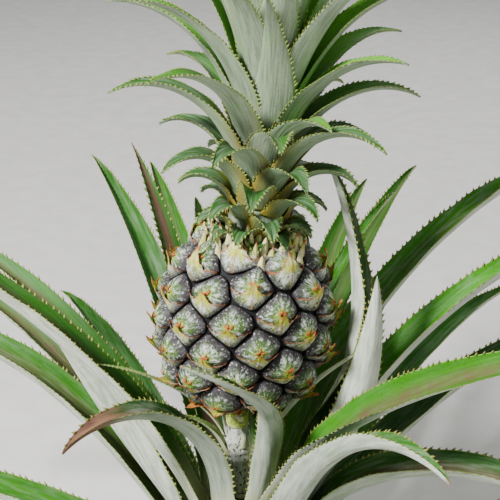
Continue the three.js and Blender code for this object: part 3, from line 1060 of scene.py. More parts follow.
@dataclass(frozen=True)
class Blade:
    """A blade's sizes in millimetres, how it has aged, and its tone with painted light and shade."""

    growth: Growth
    width: float
    thickness: float
    section: Section
    spines: Spines
    channel: float = 0.24  # depth, as a share of the width
    clasp: float = 0.0  # how much wider the foot is, where it clasps what carries it
    clasp_radius: float = 28.0
    bronze: float = 0.0
    scurf: float = 0.0
    dry: float = 0.0
    # brightness of its colours: tone, and painted light and shade
    tone_and_painted_light: float = 0.0
    amber: float = 0.0
    seed: int = 0
    tip_half: float = 0.12  # half the width at the very tip
    wander: float = 0.07  # unevenness of the channel, as a share of its depth
    wander_length: float = 90.0
    wave: float = 0.35  # height of the margins' waves
    wave_length: float = 34.0
    map_step: float = 370.0  # between two blades in the blade map, so their patterns differ

    def half_width(self, along: np.ndarray) -> np.ndarray:
        """Half the width: the clasping foot, a waist, the broad part and a long taper to the tip.

        The taper is (1 - along^2.4)^0.9 for a trough and 1 - along^1.7 for a keeled blade.

        Args:
            along: shares of the way from foot to tip.

        Returns:
            Half widths in millimetres.
        """
        if self.section is Section.TROUGH:
            foot = lerp(0.82, 1.0, smoothstep(along, 0.0, 0.24))
            body = (1.0 - along**2.4) ** 0.9
        else:
            foot = lerp(0.7, 1.0, smoothstep(along, 0.0, 0.22))
            body = 1.0 - along**1.7
        sheath = 1.0 + self.clasp * (1.0 - smoothstep(along, 0.0, 0.2))
        return np.maximum(self.width / 2.0 * foot * body * sheath, self.tip_half)

    def grids(self, rows: int, columns: int) -> tuple[np.ndarray, np.ndarray, np.ndarray]:
        """Points of the upper and lower faces.

        The section is an arc about the stem at the foot and opens into the channel. Its floor rises
        with the 1.9th power of the distance from the midrib in a trough, and with the 1.35th in a
        keeled blade. The thickness falls off to the tip and to the margins. Rows lie closer together
        towards the tip, and columns towards the margins.

        Args:
            rows: stations along the blade.
            columns: points across it.

        Returns:
            Upper points, lower points, and the distances along and across.
        """
        along = 1.0 - (1.0 - np.linspace(0.0, 1.0, rows)) ** 1.15
        crowding = math.pi * 0.43
        across = np.sin(np.linspace(-1.0, 1.0, columns) * crowding) / math.sin(crowding)
        run = along * self.growth.length
        _, side, inward = self.growth.frames(along)
        middle = self.growth.line(along)
        half = self.half_width(along)[:, None]
        far = np.abs(across)[None, :]
        angle = across[None, :] * half / self.clasp_radius
        opened = smoothstep(along, 0.02, 0.3)[:, None]
        if self.section is Section.TROUGH:
            depth = self.width * self.channel * (half / (self.width / 2.0)) ** 0.6
            lift = depth * far**1.9
        else:
            lift = half * self.channel * smoothstep(along, -0.1, 0.25)[:, None] * far**1.35
        wander = ripple(stacked(run, 0.0), self.wander_length, self.seed)[:, None]
        lift = lift * (1.0 + self.wander * wander)
        out = lerp(self.clasp_radius * np.sin(angle), across[None, :] * half, opened)
        up = lerp(self.clasp_radius * (1.0 - np.cos(angle)), lift, opened)
        body = lerp(0.65, 1.0, smoothstep(along, 0.0, 0.3)) * (1.0 - 0.6 * along**2)
        body = self.thickness * body[:, None]
        wall = np.maximum(body * (1.0 - far**2.2), 0.0) + np.minimum(0.5, 0.2 + 0.02 * half)
        apart = 60.0  # far enough for the two margins to wave differently
        places = stacked(run[:, None], across[None, :] * apart)
        waves = self.wave * far**3 * ripple(places, self.wave_length, self.seed + 1)
        up = up + waves * smoothstep(along, 0.05, 0.3)[:, None]
        reach = middle[:, None, :] + side[:, None, :] * out[..., None]
        upper = reach + inward[:, None, :] * up[..., None]
        lower = reach + inward[:, None, :] * (up - wall)[..., None]
        own_place = self.map_step * (self.seed % 97)
        return upper, lower, stacked(run[:, None], across[None, :] * half + own_place)

    def skin(self, rows: int, columns: int, tile: Tile = Tile()) -> Skin:
        """The blade's closed surface with its spines.

        Args:
            rows: stations along the blade.
            columns: points across it.
            tile: the part of the bake map for it.

        Returns:
            The skin, with the values that LeafTissue reads.
        """
        upper, lower, place = self.grids(rows, columns)
        along = (place[..., 0] / self.growth.length)[:, :1]
        across = np.linspace(-1.0, 1.0, columns)[None, :]
        withering = self.dry * smoothstep(along, 0.55, 1.0) + 0.52 * smoothstep(along, 0.955, 1.0)
        values = blade_values(along, across, self.bronze, self.scurf, withering, self.tone_and_painted_light, self.amber)
        body = closed_sheet(upper, lower, place, tile.part(0.0, 0.94), values)
        return joined([body] + [self.spine_row(upper, lower, place, k, tile) for k in (0, -1)])

    def spine_row(
        self, upper: np.ndarray, lower: np.ndarray, place: np.ndarray, column: int, tile: Tile
    ) -> Skin:
        """The spines of one margin, each a four-sided hook that leans towards the tip.

        Args:
            upper: points of the blade's upper face.
            lower: points of its lower face.
            place: distances along and across for these points.
            column: which column is the margin.
            tile: the blade's part of the bake map.

        Returns:
            A skin of closed hooks, their feet sunk in the margin.
        """
        random = np.random.default_rng(self.seed * 7 + column + 5)
        edge = (upper[:, column] + lower[:, column]) / 2.0
        inner = upper[:, 1 if column == 0 else -2]
        run = np.concatenate([[0.0], np.cumsum(np.linalg.norm(np.diff(edge, axis=0), axis=1))])
        total = run[-1]
        count = max(int(total * (self.spines.last - self.spines.first) / self.spines.pitch), 2)
        spread = (np.arange(count) + random.uniform(-0.22, 0.22, count) + 0.5) / count
        share = self.spines.first + (self.spines.last - self.spines.first) * spread

        def at(grid: np.ndarray, where: np.ndarray) -> np.ndarray:
            """Points of a column of the grid at distances along the margin."""
            return np.stack([np.interp(where, run, grid[:, axis]) for axis in range(3)], axis=-1)

        where = share * total
        root = at(edge, where)
        forward = unit(at(edge, where + 0.5) - at(edge, where - 0.5))
        outward = unit(root - at(inner, where))
        outward = unit(outward - forward * (outward * forward).sum(-1, keepdims=True))
        across = np.cross(forward, outward)
        fade = np.minimum(1.0, (1.0 - share) / 0.12 + 0.35)
        fade = fade * np.minimum(1.0, (share - self.spines.first) / 0.12 + 0.5)
        tall = (self.spines.height * fade * random.uniform(0.75, 1.2, count))[:, None]
        long = np.minimum(self.spines.breadth * tall + 0.25, 0.5 * self.spines.pitch)
        thick = 0.2 + 0.09 * tall
        sunk = root - outward * self.spines.sunk
        waist = root + outward * tall * 0.45 + forward * tall * 0.3
        tip = root + outward * tall * self.spines.reach + forward * tall * self.spines.lean
        ways = [-forward * long, -across * thick, forward * long, across * thick]
        wide = [sunk + way for way in ways]
        slim = [waist + way * left for way, left in zip(ways, (0.42, 0.6, 0.42, 0.6))]
        points = np.stack(wide + slim + [tip], axis=1)

        # Corners 0 to 3 are the foot, 4 to 7 the waist and 8 the point
        ahead = (1, 2, 3, 0)
        lower_walls = [[k, n, n + 4, k + 4] for k, n in enumerate(ahead)]
        upper_walls = [[k + 4, n + 4, 8, NO_CORNER] for k, n in enumerate(ahead)]
        hook = np.array([[0, 3, 2, 1]] + lower_walls + upper_walls)
        starts = (np.arange(count) * 9)[:, None, None]
        faces = np.where(hook[None] == NO_CORNER, NO_CORNER, hook[None] + starts).reshape(-1, 4)
        corner_share = np.repeat(share, len(hook))[:, None] + np.zeros((1, 4))
        hook_values = np.array([0.4] * 4 + [0.7] * 4 + [1.0, 0.0])[hook]
        strip = tile.part(0.94, 0.97) if column == 0 else tile.part(0.97, 1.0)
        corner_x = np.array([[0.0, 0.8, 0.8, 0.0]]) + np.repeat(np.arange(count), len(hook))[:, None]
        corner_y = np.tile(np.array([[0.0, 0.0, 1.0, 1.0]]), (len(faces), 1))
        zero = np.zeros((len(faces), 4))
        return turned_outward(
            Skin(
                points.reshape(-1, 3),
                faces,
                stacked(corner_share * self.growth.length / MAP_UNIT, 40.0),
                strip.at(corner_x / count, corner_y),
                dict.fromkeys(BLADE_VALUES, zero)
                | {"along": corner_share, "across": zero + 1.0, "spine": np.tile(hook_values, (count, 1))},
            )
        )


# Rosette


@dataclass(frozen=True)
class LongLeaf:
    """A leaf of the rosette, by the height of its foot and its heading, with the look of its faces."""

    z: float
    heading: float
    rise: float
    droop: float
    length: float
    width: float
    bend: float = 1.3
    sweep: float = 0.0
    roll: float = 0.0
    channel: float = 0.34
    bronze: float = 0.0
    scurf: float = 0.08
    dry: float = 0.0
    # brightness of its colours: tone, and painted light and shade
    tone_and_painted_light: float = 0.0


@dataclass
class Rosette:
    """The spiral of long leaves on the stem."""

    stem: tuple[tuple[float, float], ...] = ((112, 28), (134, 23), (147, 14))  # heights and radii
    clearance: float = 0.35
    thickness_share: float = 0.00896  # of a leaf's length
    width: float = 32.0  # of the leaves that the photo hides
    rows: int = 90
    columns: int = 15
    spines: Spines = Spines(5.6, 2.8, breadth=0.55)
    # Several leaves are painted brighter where they lie in shadow and darker where they should look shaded:
    # painted light and shade
    front: tuple[LongLeaf, ...] = (
        LongLeaf(127, -46, 79, 59, 400, 28, 0.6, sweep=20, roll=46, channel=0.4, bronze=0.65, tone_and_painted_light=0.36),
        LongLeaf(137, -58, 77, 52, 222, 22, bend=1.6, sweep=-124, scurf=0.9, tone_and_painted_light=-0.35),
        LongLeaf(132, 214, 87, 124, 206, 32, bend=1.6, bronze=0.9, scurf=0.5, dry=1.0, tone_and_painted_light=-0.5),
        LongLeaf(126, -3, 58, -53, 308, 26, bend=1.1, roll=158, channel=0.5, scurf=0.3, tone_and_painted_light=-0.2),
        LongLeaf(113, -17, 57, -35, 250, 35, bend=1.1, roll=-74, channel=0.22, scurf=0.5),
        LongLeaf(114, 57, 76, 69, 322, 18, bend=1.1, scurf=0.4, tone_and_painted_light=0.3),
        LongLeaf(110, 186, 78, 50, 430, 32, bend=0.7, bronze=0.75, tone_and_painted_light=0.05),
        LongLeaf(99, 29, 78, 76, 430, 34, bend=1.2, bronze=0.3, scurf=0.5, tone_and_painted_light=0.8),
        LongLeaf(126, 128, 76, 28, 300, 28, bend=2, channel=0.1, bronze=0.9, dry=0.35),
        LongLeaf(91, -53, 67, 86, 284, 36, bend=2.8, roll=-14, scurf=0.4),
        LongLeaf(92, 177, 57, -7, 232, 34, bend=1.4, roll=62, scurf=0.9, tone_and_painted_light=0.2),
        LongLeaf(87, 16, 68, 66, 400, 32, bend=1.5, scurf=0.3, tone_and_painted_light=0.8),
        LongLeaf(72, -20, 77, 147, 372, 34, bend=1.2, bronze=0.8, scurf=0.3),
        LongLeaf(70, 166, 55, 109, 419, 34, bend=2.4, bronze=0.5, scurf=0.2, tone_and_painted_light=0.15),
        LongLeaf(62, 20, 52, 58, 387, 32, bend=1.6, scurf=0.2, tone_and_painted_light=-0.35),
        LongLeaf(60, 200, 48, 84, 390, 34, bend=1.1, bronze=0.3),
        LongLeaf(56, -30, 46, 76, 370, 34, bend=1.1, bronze=0.2),
    )
    # Heights and headings of the leaves that the photo hides
    others: tuple[tuple[float, float], ...] = (
        (112, 92), (104, 250), (97, -89), (94, 84), (90, 118), (86, 234), (84, 148), (82, 60), (78, -82),
        (74, 106), (70, 244), (66, 70), (62, 145), (58, -74), (54, 98), (50, 238), (46, 180), (42, 46),
        (40, 264), (38, -4), (34, -66), (30, 120), (26, 210), (22, 72), (20, -110),
    )

    def other_leaf(self, z: float, heading: float, number: int) -> LongLeaf:
        """A leaf given by height and heading: the lower it stands, the flatter it lies.

        The longest leaves stand in the middle, and those in front lie flatter than those behind.

        Args:
            z: height of its foot.
            heading: its direction in degrees.
            number: picks its look.

        Returns:
            The leaf.
        """
        highest, lowest = self.others[0][0], self.others[-1][0]
        age = (highest - z) / (highest - lowest)
        random = np.random.default_rng(900 + number)
        return LongLeaf(
            z,
            heading,
            lerp(66, 32, age) + 9 * math.sin(math.radians(heading)),
            lerp(54, 50, age),
            290 + 120 * math.sin(math.pi * lerp(0.12, 0.75, age)),
            self.width,
            bend=1.2,
            bronze=float(random.choice([0.0, 0.25, 0.6], p=[0.4, 0.35, 0.25])),
            scurf=float(random.uniform(0.05, 0.3)),
            dry=float(random.choice([0.0, 0.3], p=[0.75, 0.25])),
            tone_and_painted_light=float(random.uniform(-0.1, 0.2)),
        )

    def stem_at(self, z: float) -> float:
        """The stem's radius at a height."""
        return float(np.interp(z, *zip(*self.stem)))

    def blade(self, leaf: LongLeaf, number: int) -> Blade:
        """The blade of a leaf, with its foot just off the stem.

        Args:
            leaf: its sizes and its look.
            number: picks its unevenness.

        Returns:
            The blade.
        """
        radius = self.stem_at(leaf.z) + self.clearance
        foot = foot_at(radius, leaf.heading, leaf.z)
        growth = Growth(
            foot, leaf.heading, leaf.rise, leaf.droop, leaf.length, leaf.bend, leaf.sweep, leaf.roll
        )
        return Blade(
            growth,
            leaf.width,
            leaf.length * self.thickness_share,
            Section.TROUGH,
            self.spines,
            channel=leaf.channel,
            clasp=0.62,
            clasp_radius=radius + 1.0,
            bronze=leaf.bronze,
            scurf=leaf.scurf,
            dry=leaf.dry,
            tone_and_painted_light=leaf.tone_and_painted_light,
            seed=11 * number + 3,
        )

    def build(self) -> None:
        """Make every leaf a piece of its own that stands for its solid."""
        tissue = LeafTissue("Rosette leaf tissue").build()
        leaves = list(self.front)
        leaves += [self.other_leaf(z, heading, k) for k, (z, heading) in enumerate(self.others)]
        for number, leaf in enumerate(leaves, start=1):
            skin = self.blade(leaf, number).skin(self.rows, self.columns)
            placed_piece(f"leaf_blade_{number:02d}", skin, tissue, "long_leaf", f"leaf_{number:02d}")


# Fruit


@dataclass(frozen=True)
class Eye:
    """One fruitlet: its place on the fruit, and the walls towards its neighbours."""

    number: int  # up the spiral
    heading: float  # in radians
    radius: float
    run: float  # up the skin
    rank: float  # from 0 for the lowest eye to almost 1
    directions: np.ndarray  # to its neighbours, in radians over the skin
    limits: np.ndarray  # distances of the walls in these directions


@dataclass(frozen=True)
class Frill:
    """A frill of small bracts in the golden spiral; pairs hold the lowest bract's size and the highest's."""

    name: str
    tissue: bpy.types.Material
    count: int
    span: tuple[float, float]  # heights of their feet above the fruit's seat
    rises: tuple[float, float]
    lengths: tuple[float, float]
    width: float
    droop: float


@dataclass
class Fruit:
    """The fruit, in a frame of its own that stands on its seat and leans by its tilt."""

    seat: tuple[float, float, float] = (-5.0, 0.0, 246.0)
    tilt: float = 6.0
    width: float = 125.0
    height: float = 123.0
    eye_count: int = 67
    first_heading: float = 51.7
    skin_inset: float = 3.6
    core_inset: float = 1.5
    core_map_radius: float = 60.0  # at which the core's blade map is rolled out
    neighbourhood: float = 55.0  # farthest distance of an eye that shapes another's walls
    groove: float = 0.4  # half the width of the groove between two eyes
    eye_depth: float = 4.2  # of an eye's underside below the skin
    relief: float = 7.2
    end_relief: float = 0.35  # relief at the fruit's two ends, as a share of the full one
    end_run: float = 16.0  # how far from an end the relief is full
    boss: tuple[float, float] = (0.8, 4.0)  # height and radius of the boss in an eye's middle
    crease: tuple[float, float] = (0.6, 0.8)  # depth and width
    creases: tuple[float, ...] = (90.0, 205.0, 335.0)  # directions in degrees
    wrinkle: tuple[float, float] = (0.2, 4.2)  # height and length
    bract_lift: float = 2.4
    beak_lift: float = 3.2
    beak_length: float = 7.0
    beak_rim: float = 3.08  # distance to the rim at a beak's foot, which falls to none at its tip
    # Each pair holds the size on most eyes and the size next to the crown
    beak_halves: tuple[float, float] = (6.2, 9.0)
    beak_powers: tuple[float, float] = (1.6, 1.1)
    beak_stretch: tuple[float, float] = (1.0, 1.9)
    flaps: tuple[float, ...] = (35.0, 95.0, 150.0)  # directions of the dried sepals in degrees
    spirals: int = 8
    corner_power: float = 10.0  # how square the eyes' corners are
    # Radii and heights of the outline, as shares of its width and height
    girths: tuple[tuple[float, float], ...] = (
        (0.2, 0.0), (0.36, 0.065), (0.45, 0.18), (0.497, 0.366), (0.5, 0.504),
        (0.468, 0.691), (0.384, 0.854), (0.288, 0.951), (0.19, 1.0),
    )

    def __post_init__(self) -> None:
        """Work out the outline and the eyes."""
        self.outline = self.profile(400)
        self.eyes = self.laid_eyes()

    def profile(self, steps: int) -> dict[str, np.ndarray]:
        """The outline: an even Catmull-Rom spline through the girths, with its run and the area below.

        Args:
            steps: how many stations follow the first.

        Returns:
            Arrays of radius, height z, run up the skin, skin area below, and slope.
        """
        knots = np.array(self.girths) * [self.width - 2 * self.skin_inset, self.height]
        place = np.linspace(0.0, len(knots) - 1.0, steps + 1)
        start = np.minimum(place.astype(int), len(knots) - 2)
        t = (place - start)[:, None]
        before, here, ahead, after = (
            knots[np.clip(start + shift, 0, len(knots) - 1)] for shift in (-1, 0, 1, 2)
        )
        v0, v1 = (ahead - before) / 2.0, (after - here) / 2.0
        cubic, square = 2 * here - 2 * ahead + v0 + v1, 3 * ahead - 3 * here - 2 * v0 - v1
        points = cubic * t**3 + square * t**2 + v0 * t + here
        radius, z = points.T
        step = np.concatenate([[0.0], np.hypot(np.diff(radius), np.diff(z))])
        area = np.cumsum(math.pi * (radius + np.concatenate([radius[:1], radius[:-1]])) * step)
        slope = np.arctan2(np.gradient(z), np.gradient(radius))
        return {"radius": radius, "z": z, "run": np.cumsum(step), "area": area, "slope": slope}

    def laid_eyes(self) -> list[Eye]:
        """The eyes up the spiral, each with an equal share of the skin and walls to its neighbours.

        Returns:
            The eyes, the lowest first.
        """
        line = self.outline
        number = np.arange(self.eye_count)
        share = (number + 0.5) / self.eye_count * line["area"][-1]
        heading = np.radians(self.first_heading + number * DIVERGENCE)
        radius = np.interp(share, line["area"], line["radius"])
        run = np.interp(share, line["area"], line["run"])
        eyes = []
        for i in number:
            turn = np.arctan2(np.sin(heading - heading[i]), np.cos(heading - heading[i]))
            offset = np.stack([turn * (radius + radius[i]) / 2.0, run - run[i]], axis=1)
            distance = np.hypot(*offset.T)
            near = (distance > 0.0) & (distance < self.neighbourhood)
            directions = np.arctan2(offset[near, 1], offset[near, 0])
            limits = distance[near] / 2.0 - self.groove
            rank = float(i) / self.eye_count
            place = (int(i), float(heading[i]), float(radius[i]), float(run[i]), rank)
            eyes.append(Eye(*place, directions, limits))
        return eyes

    def cell_reach(self, eye: Eye, angle: np.ndarray) -> np.ndarray:
        """How far an eye reaches in a direction over the skin.

        The walls towards the neighbours are lines at their limits. Their polar distances are combined
        by a power mean, which rounds the corners, and the fruit's ends cut off what lies beyond.

        Args:
            eye: the eye.
            angle: directions over the skin in radians, 0 round the fruit and a quarter turn up it.

        Returns:
            Distances from the eye's middle to its groove.
        """
        facing = np.maximum(np.cos(angle[..., None] - eye.directions), 0.0) / eye.limits
        total = np.maximum((facing**self.corner_power).sum(-1), 1e-30)
        reach = total ** (-1.0 / self.corner_power)
        up = np.sin(angle)
        room = np.where(up > 0, self.outline["run"][-1] - eye.run, eye.run) - self.groove
        return np.minimum(reach, np.abs(room) / np.maximum(np.abs(up), 1e-3))

    def swell(self, eye: Eye) -> float:
        """How fully an eye stands out: those at the fruit's two ends stay flatter."""
        return float(smoothstep(min(self.outline["run"][-1] - eye.run, eye.run), 0.0, self.end_run))

    def cushion(self, eye: Eye, offset: np.ndarray) -> tuple[np.ndarray, np.ndarray]:
        """Height of an eye's rounded cushion, with three creases between its sepals and faint wrinkles.

        The cushion's height is its relief times (1 - share^2.2)^0.7, and a low boss tops its middle.

        Args:
            eye: the eye.
            offset: places on the skin, round the fruit and up it, in millimetres from the eye.

        Returns:
            Heights, and each place's share of the way from the eye's middle to its groove.
        """
        angle = np.arctan2(offset[..., 1], offset[..., 0])
        distance = np.hypot(offset[..., 0], offset[..., 1])
        share = distance / self.cell_reach(eye, angle)
        body = (1.0 - np.clip(share, 0.0, 1.0) ** 2.2) ** 0.7
        beyond = np.maximum(share - 1.0, 0.0) * 14.0
        boss = self.boss[0] * np.exp(-((distance / self.boss[1]) ** 2))
        depth, width = self.crease
        crease = 0.0
        for way in self.creases:
            off = angle - math.radians(way) + 0.12 * math.sin(3.0 * eye.number)
            beside = distance * np.sin(off)
            crease = crease + np.where(np.cos(off) > 0, np.exp(-((beside / width) ** 2)), 0.0)
        crease = depth * crease * smoothstep(distance, 1.5, 5.0) * (1.0 - smoothstep(share, 0.6, 0.95))
        high, long = self.wrinkle
        wrinkles = high * ripple(offset, long, 40 + eye.number) * (1.0 - share.clip(0, 1) ** 4)
        relief = self.relief * lerp(self.end_relief, 1.0, self.swell(eye))
        return relief * body + boss - crease + wrinkles - beyond, share

    def on_skin(self, eye: Eye, offset: np.ndarray, height: Grid) -> np.ndarray:
        """Points at offsets from an eye, raised along the skin's normal, in the plant's frame.

        Args:
            eye: the eye.
            offset: places on the skin, round the fruit and up it, in millimetres from the eye.
            height: how far the points stand off the skin.

        Returns:
            The points. Beyond the fruit's ends they go on along the skin's last slope.
        """
        line = self.outline
        run = np.clip(eye.run + offset[..., 1], 0.01, line["run"][-1])
        radius, z, slope = (np.interp(run, line["run"], line[name]) for name in ("radius", "z", "slope"))
        over = eye.run + offset[..., 1] - run
        angle = eye.heading + offset[..., 0] / eye.radius
        radius = radius + height * np.sin(slope) + over * np.cos(slope)
        z = z - height * np.cos(slope) + over * np.sin(slope)
        return self.in_place(about_axis(radius, angle, z))

    def in_place(self, points: np.ndarray) -> np.ndarray:
        """Turn points about Y by the tilt, then move them to the seat.

        Args:
            points: points in the fruit's own frame.

        Returns:
            The points in the plant's frame.
        """
        tilt = math.radians(self.tilt)
        x, y, z = points[..., 0], points[..., 1], points[..., 2]
        turned = [x * math.cos(tilt) + z * math.sin(tilt), y, z * math.cos(tilt) - x * math.sin(tilt)]
        return np.stack(turned, axis=-1) + np.array(self.seat)

    def carried(self, skin: Skin) -> Skin:
        """A skin given in the fruit's frame, in the plant's frame."""
        return replace(skin, points=self.in_place(skin.points))

    def eye_skin(self, eye: Eye, tile: Tile, cells: int = 22) -> Skin:
        """An eye's cushion, closed below the skin.

        A square grid is drawn out to a disc, ring by ring, and the disc to the eye's outline.

        Args:
            eye: the eye.
            tile: its part of the bake map.
            cells: cells of the grid each way.

        Returns:
            The skin, with the values that EyeRind reads.
        """
        line = np.linspace(-1.0, 1.0, cells + 1)
        a, b = np.meshgrid(line, line, indexing="ij")
        wide = np.abs(a) > np.abs(b)
        radius = np.where(wide, a, b)
        ratio = np.where(wide, b, a) / np.where(radius == 0, 1, radius)
        phi = np.where(wide, math.pi / 4 * ratio, math.pi / 2 - math.pi / 4 * ratio)
        angle = np.arctan2(radius * np.sin(phi), radius * np.cos(phi))
        share = np.abs(radius) ** 0.82
        reach = self.cell_reach(eye, angle)
        way = np.stack([np.cos(angle), np.sin(angle)], axis=-1)
        offset = way * (share * reach)[..., None]
        height, share = self.cushion(eye, offset)
        top = self.on_skin(eye, offset, height)
        under = self.on_skin(eye, offset * 0.97, -self.eye_depth)
        values = {"reach": (share, 1.0), "rank": (eye.rank, eye.rank)}
        return closed_sheet(top, under, offset, tile, values)

    def bract_skin(self, eye: Eye, tile: Tile, rows: int = 13, columns: int = 27) -> Skin:
        """The bract over an eye's lower half.

        Its upper margin dips like a smile between the eye's two corners, and a beak rises from its
        middle: height (1 - |x| / 6.2)^1.6 times the beak's length. The beak lifts off the cushion. Next
        to the crown the beaks are longer and broader.

        Args:
            eye: the eye.
            tile: its part of the bake map.
            rows: points up the bract.
            columns: points across it.

        Returns:
            The skin, with the values that BractPaper reads.
        """
        swell = self.swell(eye)
        random = np.random.default_rng(300 + eye.number)
        young = float(smoothstep(eye.rank, 0.8, 0.97))
        angles = np.linspace(-math.pi + 0.09, -0.09, 181)
        ways = np.stack([np.cos(angles), np.sin(angles)], axis=1)
        edge = 0.985 * self.cell_reach(eye, angles)[:, None] * ways
        order = np.argsort(edge[:, 0])
        t = np.linspace(-1.0, 1.0, columns)
        t = np.sign(t) * np.abs(t) ** 1.45
        left, right = edge[order[0], 0], edge[order[-1], 0]
        x = np.where(t < 0, -t * left, t * right)
        low = np.interp(x, edge[order, 0], edge[order, 1])
        corner = np.where(t < 0, low[0], low[-1])
        dip = -0.3 * abs(edge[:, 1].min()) + random.uniform(-0.8, 0.8)
        dip = dip + 0.7 * ripple(x[:, None], 3.4, eye.number)
        margin = np.maximum(lerp(dip, corner, np.abs(t) ** 2.3), low)
        half, power, stretch = (
            lerp(*pair, young) for pair in (self.beak_halves, self.beak_powers, self.beak_stretch)
        )
        length = self.beak_length * lerp(0.6, 1.0, swell) * stretch * random.uniform(0.85, 1.15)
        beak = np.clip(1.0 - np.abs(x) / half, 0.0, 1.0) ** power
        lean = random.uniform(-0.12, 0.12)
        v = np.linspace(0.0, 1.0, rows)[:, None] ** 0.85
        top_line = margin + beak * length
        y = lerp(low, top_line, v)
        risen = np.clip((y - margin) / length, 0.0, 1.0)
        offset = stacked(x + lean * length * risen, y)
        cushion, share = self.cushion(eye, offset)
        lift = 0.3 + self.bract_lift * lerp(0.6, 1.0, swell) * v**2
        keel = 0.7 * np.exp(-((x / 1.6) ** 2)) * v
        lift = lift + keel + self.beak_lift * lerp(1.0, 1.5, young) * risen**1.35 * lerp(0.4, 1.0, swell)
        wall = 0.55 * (1.0 - 0.5 * risen)
        height = cushion + lift
        to_rim = top_line - y
        to_rim = np.minimum(to_rim, np.where(risen > 0, self.beak_rim * (1.0 - risen), to_rim))
        values = {
            "reach": share,
            "rank": eye.rank,
            "rim": to_rim,
            "keel": np.abs(x)[None, :],
            "beak": risen ** lerp(1.0, 2.2, young),
            "dry": smoothstep(eye.rank, 0.14, 0.02),
        }
        return closed_sheet(
            self.on_skin(eye, offset, height),
            self.on_skin(eye, offset, height - wall),
            offset,
            tile,
            {name: (grid, grid) for name, grid in values.items()},
        )

    def flap_skin(self, eye: Eye, way: float, tile: Tile) -> Skin:
        """A dried sepal beside the beak: a narrow pointed flap that bulges off the cushion.

        Args:
            eye: the eye.
            way: its direction from the eye's middle, in degrees.
            tile: its part of the bake map.

        Returns:
            The skin, with the values that BractPaper reads.
        """
        random = np.random.default_rng(int(600 + 400 * eye.number + way))
        v = np.linspace(0.0, 1.0, 6)[:, None]
        u = np.linspace(-1.0, 1.0, 5)[None, :]
        turn = math.radians(way + random.uniform(-25.0, 25.0))
        out = 0.6 + random.uniform(2.8, 4.6) * v
        beside = random.uniform(0.7, 1.2) * (1.0 - v**1.6) * u
        cos, sin = math.cos(turn), math.sin(turn)
        offset = stacked(out * cos - beside * sin, out * sin + beside * cos)
        bulge = 0.5 + 0.8 * np.sin(math.pi * v) + random.uniform(-0.2, 0.9) * v**2
        height = self.cushion(eye, offset)[0] + bulge
        levels = {"reach": 0.3, "rank": eye.rank, "rim": 3.0, "keel": 3.0, "beak": 1.0, "dry": 0.6}
        values = {name: (level, level) for name, level in levels.items()}
        top, under = self.on_skin(eye, offset, height), self.on_skin(eye, offset, height - 0.4)
        return closed_sheet(top, under, offset, tile, values)

    def core(self) -> Skin:
        """The flesh seen between the eyes, painted near black as shade but for the fruit's pale green top.

        It is the outline turned about the axis, with an inset.

        Returns:
            The skin, with the values that EyeRind reads.
        """
        line = self.outline
        stations = np.linspace(0, len(line["z"]) - 1, 60).astype(int)
        turn = full_turn(72)
        radius, z, run = (line[name][stations][:, None] for name in ("radius", "z", "run"))
        rings = self.in_place(about_axis(radius - self.core_inset, turn, z))
        place = stacked(run, self.core_map_radius * turn)
        top = smoothstep(run / line["run"][-1], 0.88, 0.93)
        # A reach of 1 takes the rind's near black groove colour: painted shade
        return closed_tube(rings, place, Tile(), {"reach": 1.0 - 0.7 * top, "rank": lerp(0.5, 1.0, top)})

    def build(self) -> None:
        """Make the core, and for each spiral its cushions and its bracts, then the frills."""
        rind = EyeRind().build()
        paper = BractPaper().build()
        placed_piece("fruit_core", self.core(), rind, "fruit_skin", "fruit")
        for spiral in range(self.spirals):
            eyes = [eye for eye in self.eyes if eye.number % self.spirals == spiral]
            places = tiles(len(eyes), 3)
            cushions = joined([self.eye_skin(eye, tile) for eye, tile in zip(eyes, places)])
            bracts = [self.bract_skin(eye, tile.part(0.0, 0.88)) for eye, tile in zip(eyes, places)]
            flaps = [
                self.flap_skin(eye, way, tile.part(0.88 + 0.04 * k, 0.92 + 0.04 * k))
                for eye, tile in zip(eyes, places)
                for k, way in enumerate(self.flaps)
            ]
            for name, skin, material in (
                ("eyes", cushions, rind),
                ("bracts", joined(bracts + flaps), paper),
            ):
                placed_piece(f"fruit_{name}_{spiral + 1}", skin, material, "fruit_skin", "fruit")
        self.frills()

    def frills(self) -> None:
        """Make the pale upright bracts on the fruit's shoulder and the dried ones under its foot."""
        young = LeafTissue(
            "Shoulder bract tissue",
            deep="#8fa24a", bright="#bcc76a", felt="#e8e4b4", felt_shade="#aeb53c", grain="#8b6f44",
            margin="#a5602f", margin_cover=0.85, foot="#e6e0a4", foot_reach=0.4, dry="#b5673a",
            felt_pitch=2.6,
        ).build()
        dried = LeafTissue(
            "Dried bract tissue",
            deep="#7d5c34", bright="#a88b4c", felt="#bfa76e", felt_shade="#8f7440",
            margin="#a8733f", foot="#8f8f4e", dry="#6f4426",
        ).build()
        for frill in (
            Frill("fruit_shoulder", young, 80, (110.5, 125.0), (104.0, 86.0), (13.0, 16.0), 7.5, 16.0),
            Frill("fruit_collar", dried, 30, (2.0, 10.0), (-4.0, 16.0), (8.0, 13.0), 9.0, 26.0),
        ):
            skin = self.carried(self.frill_skin(frill))
            placed_piece(frill.name, skin, frill.tissue, "fruit_skin", "fruit")

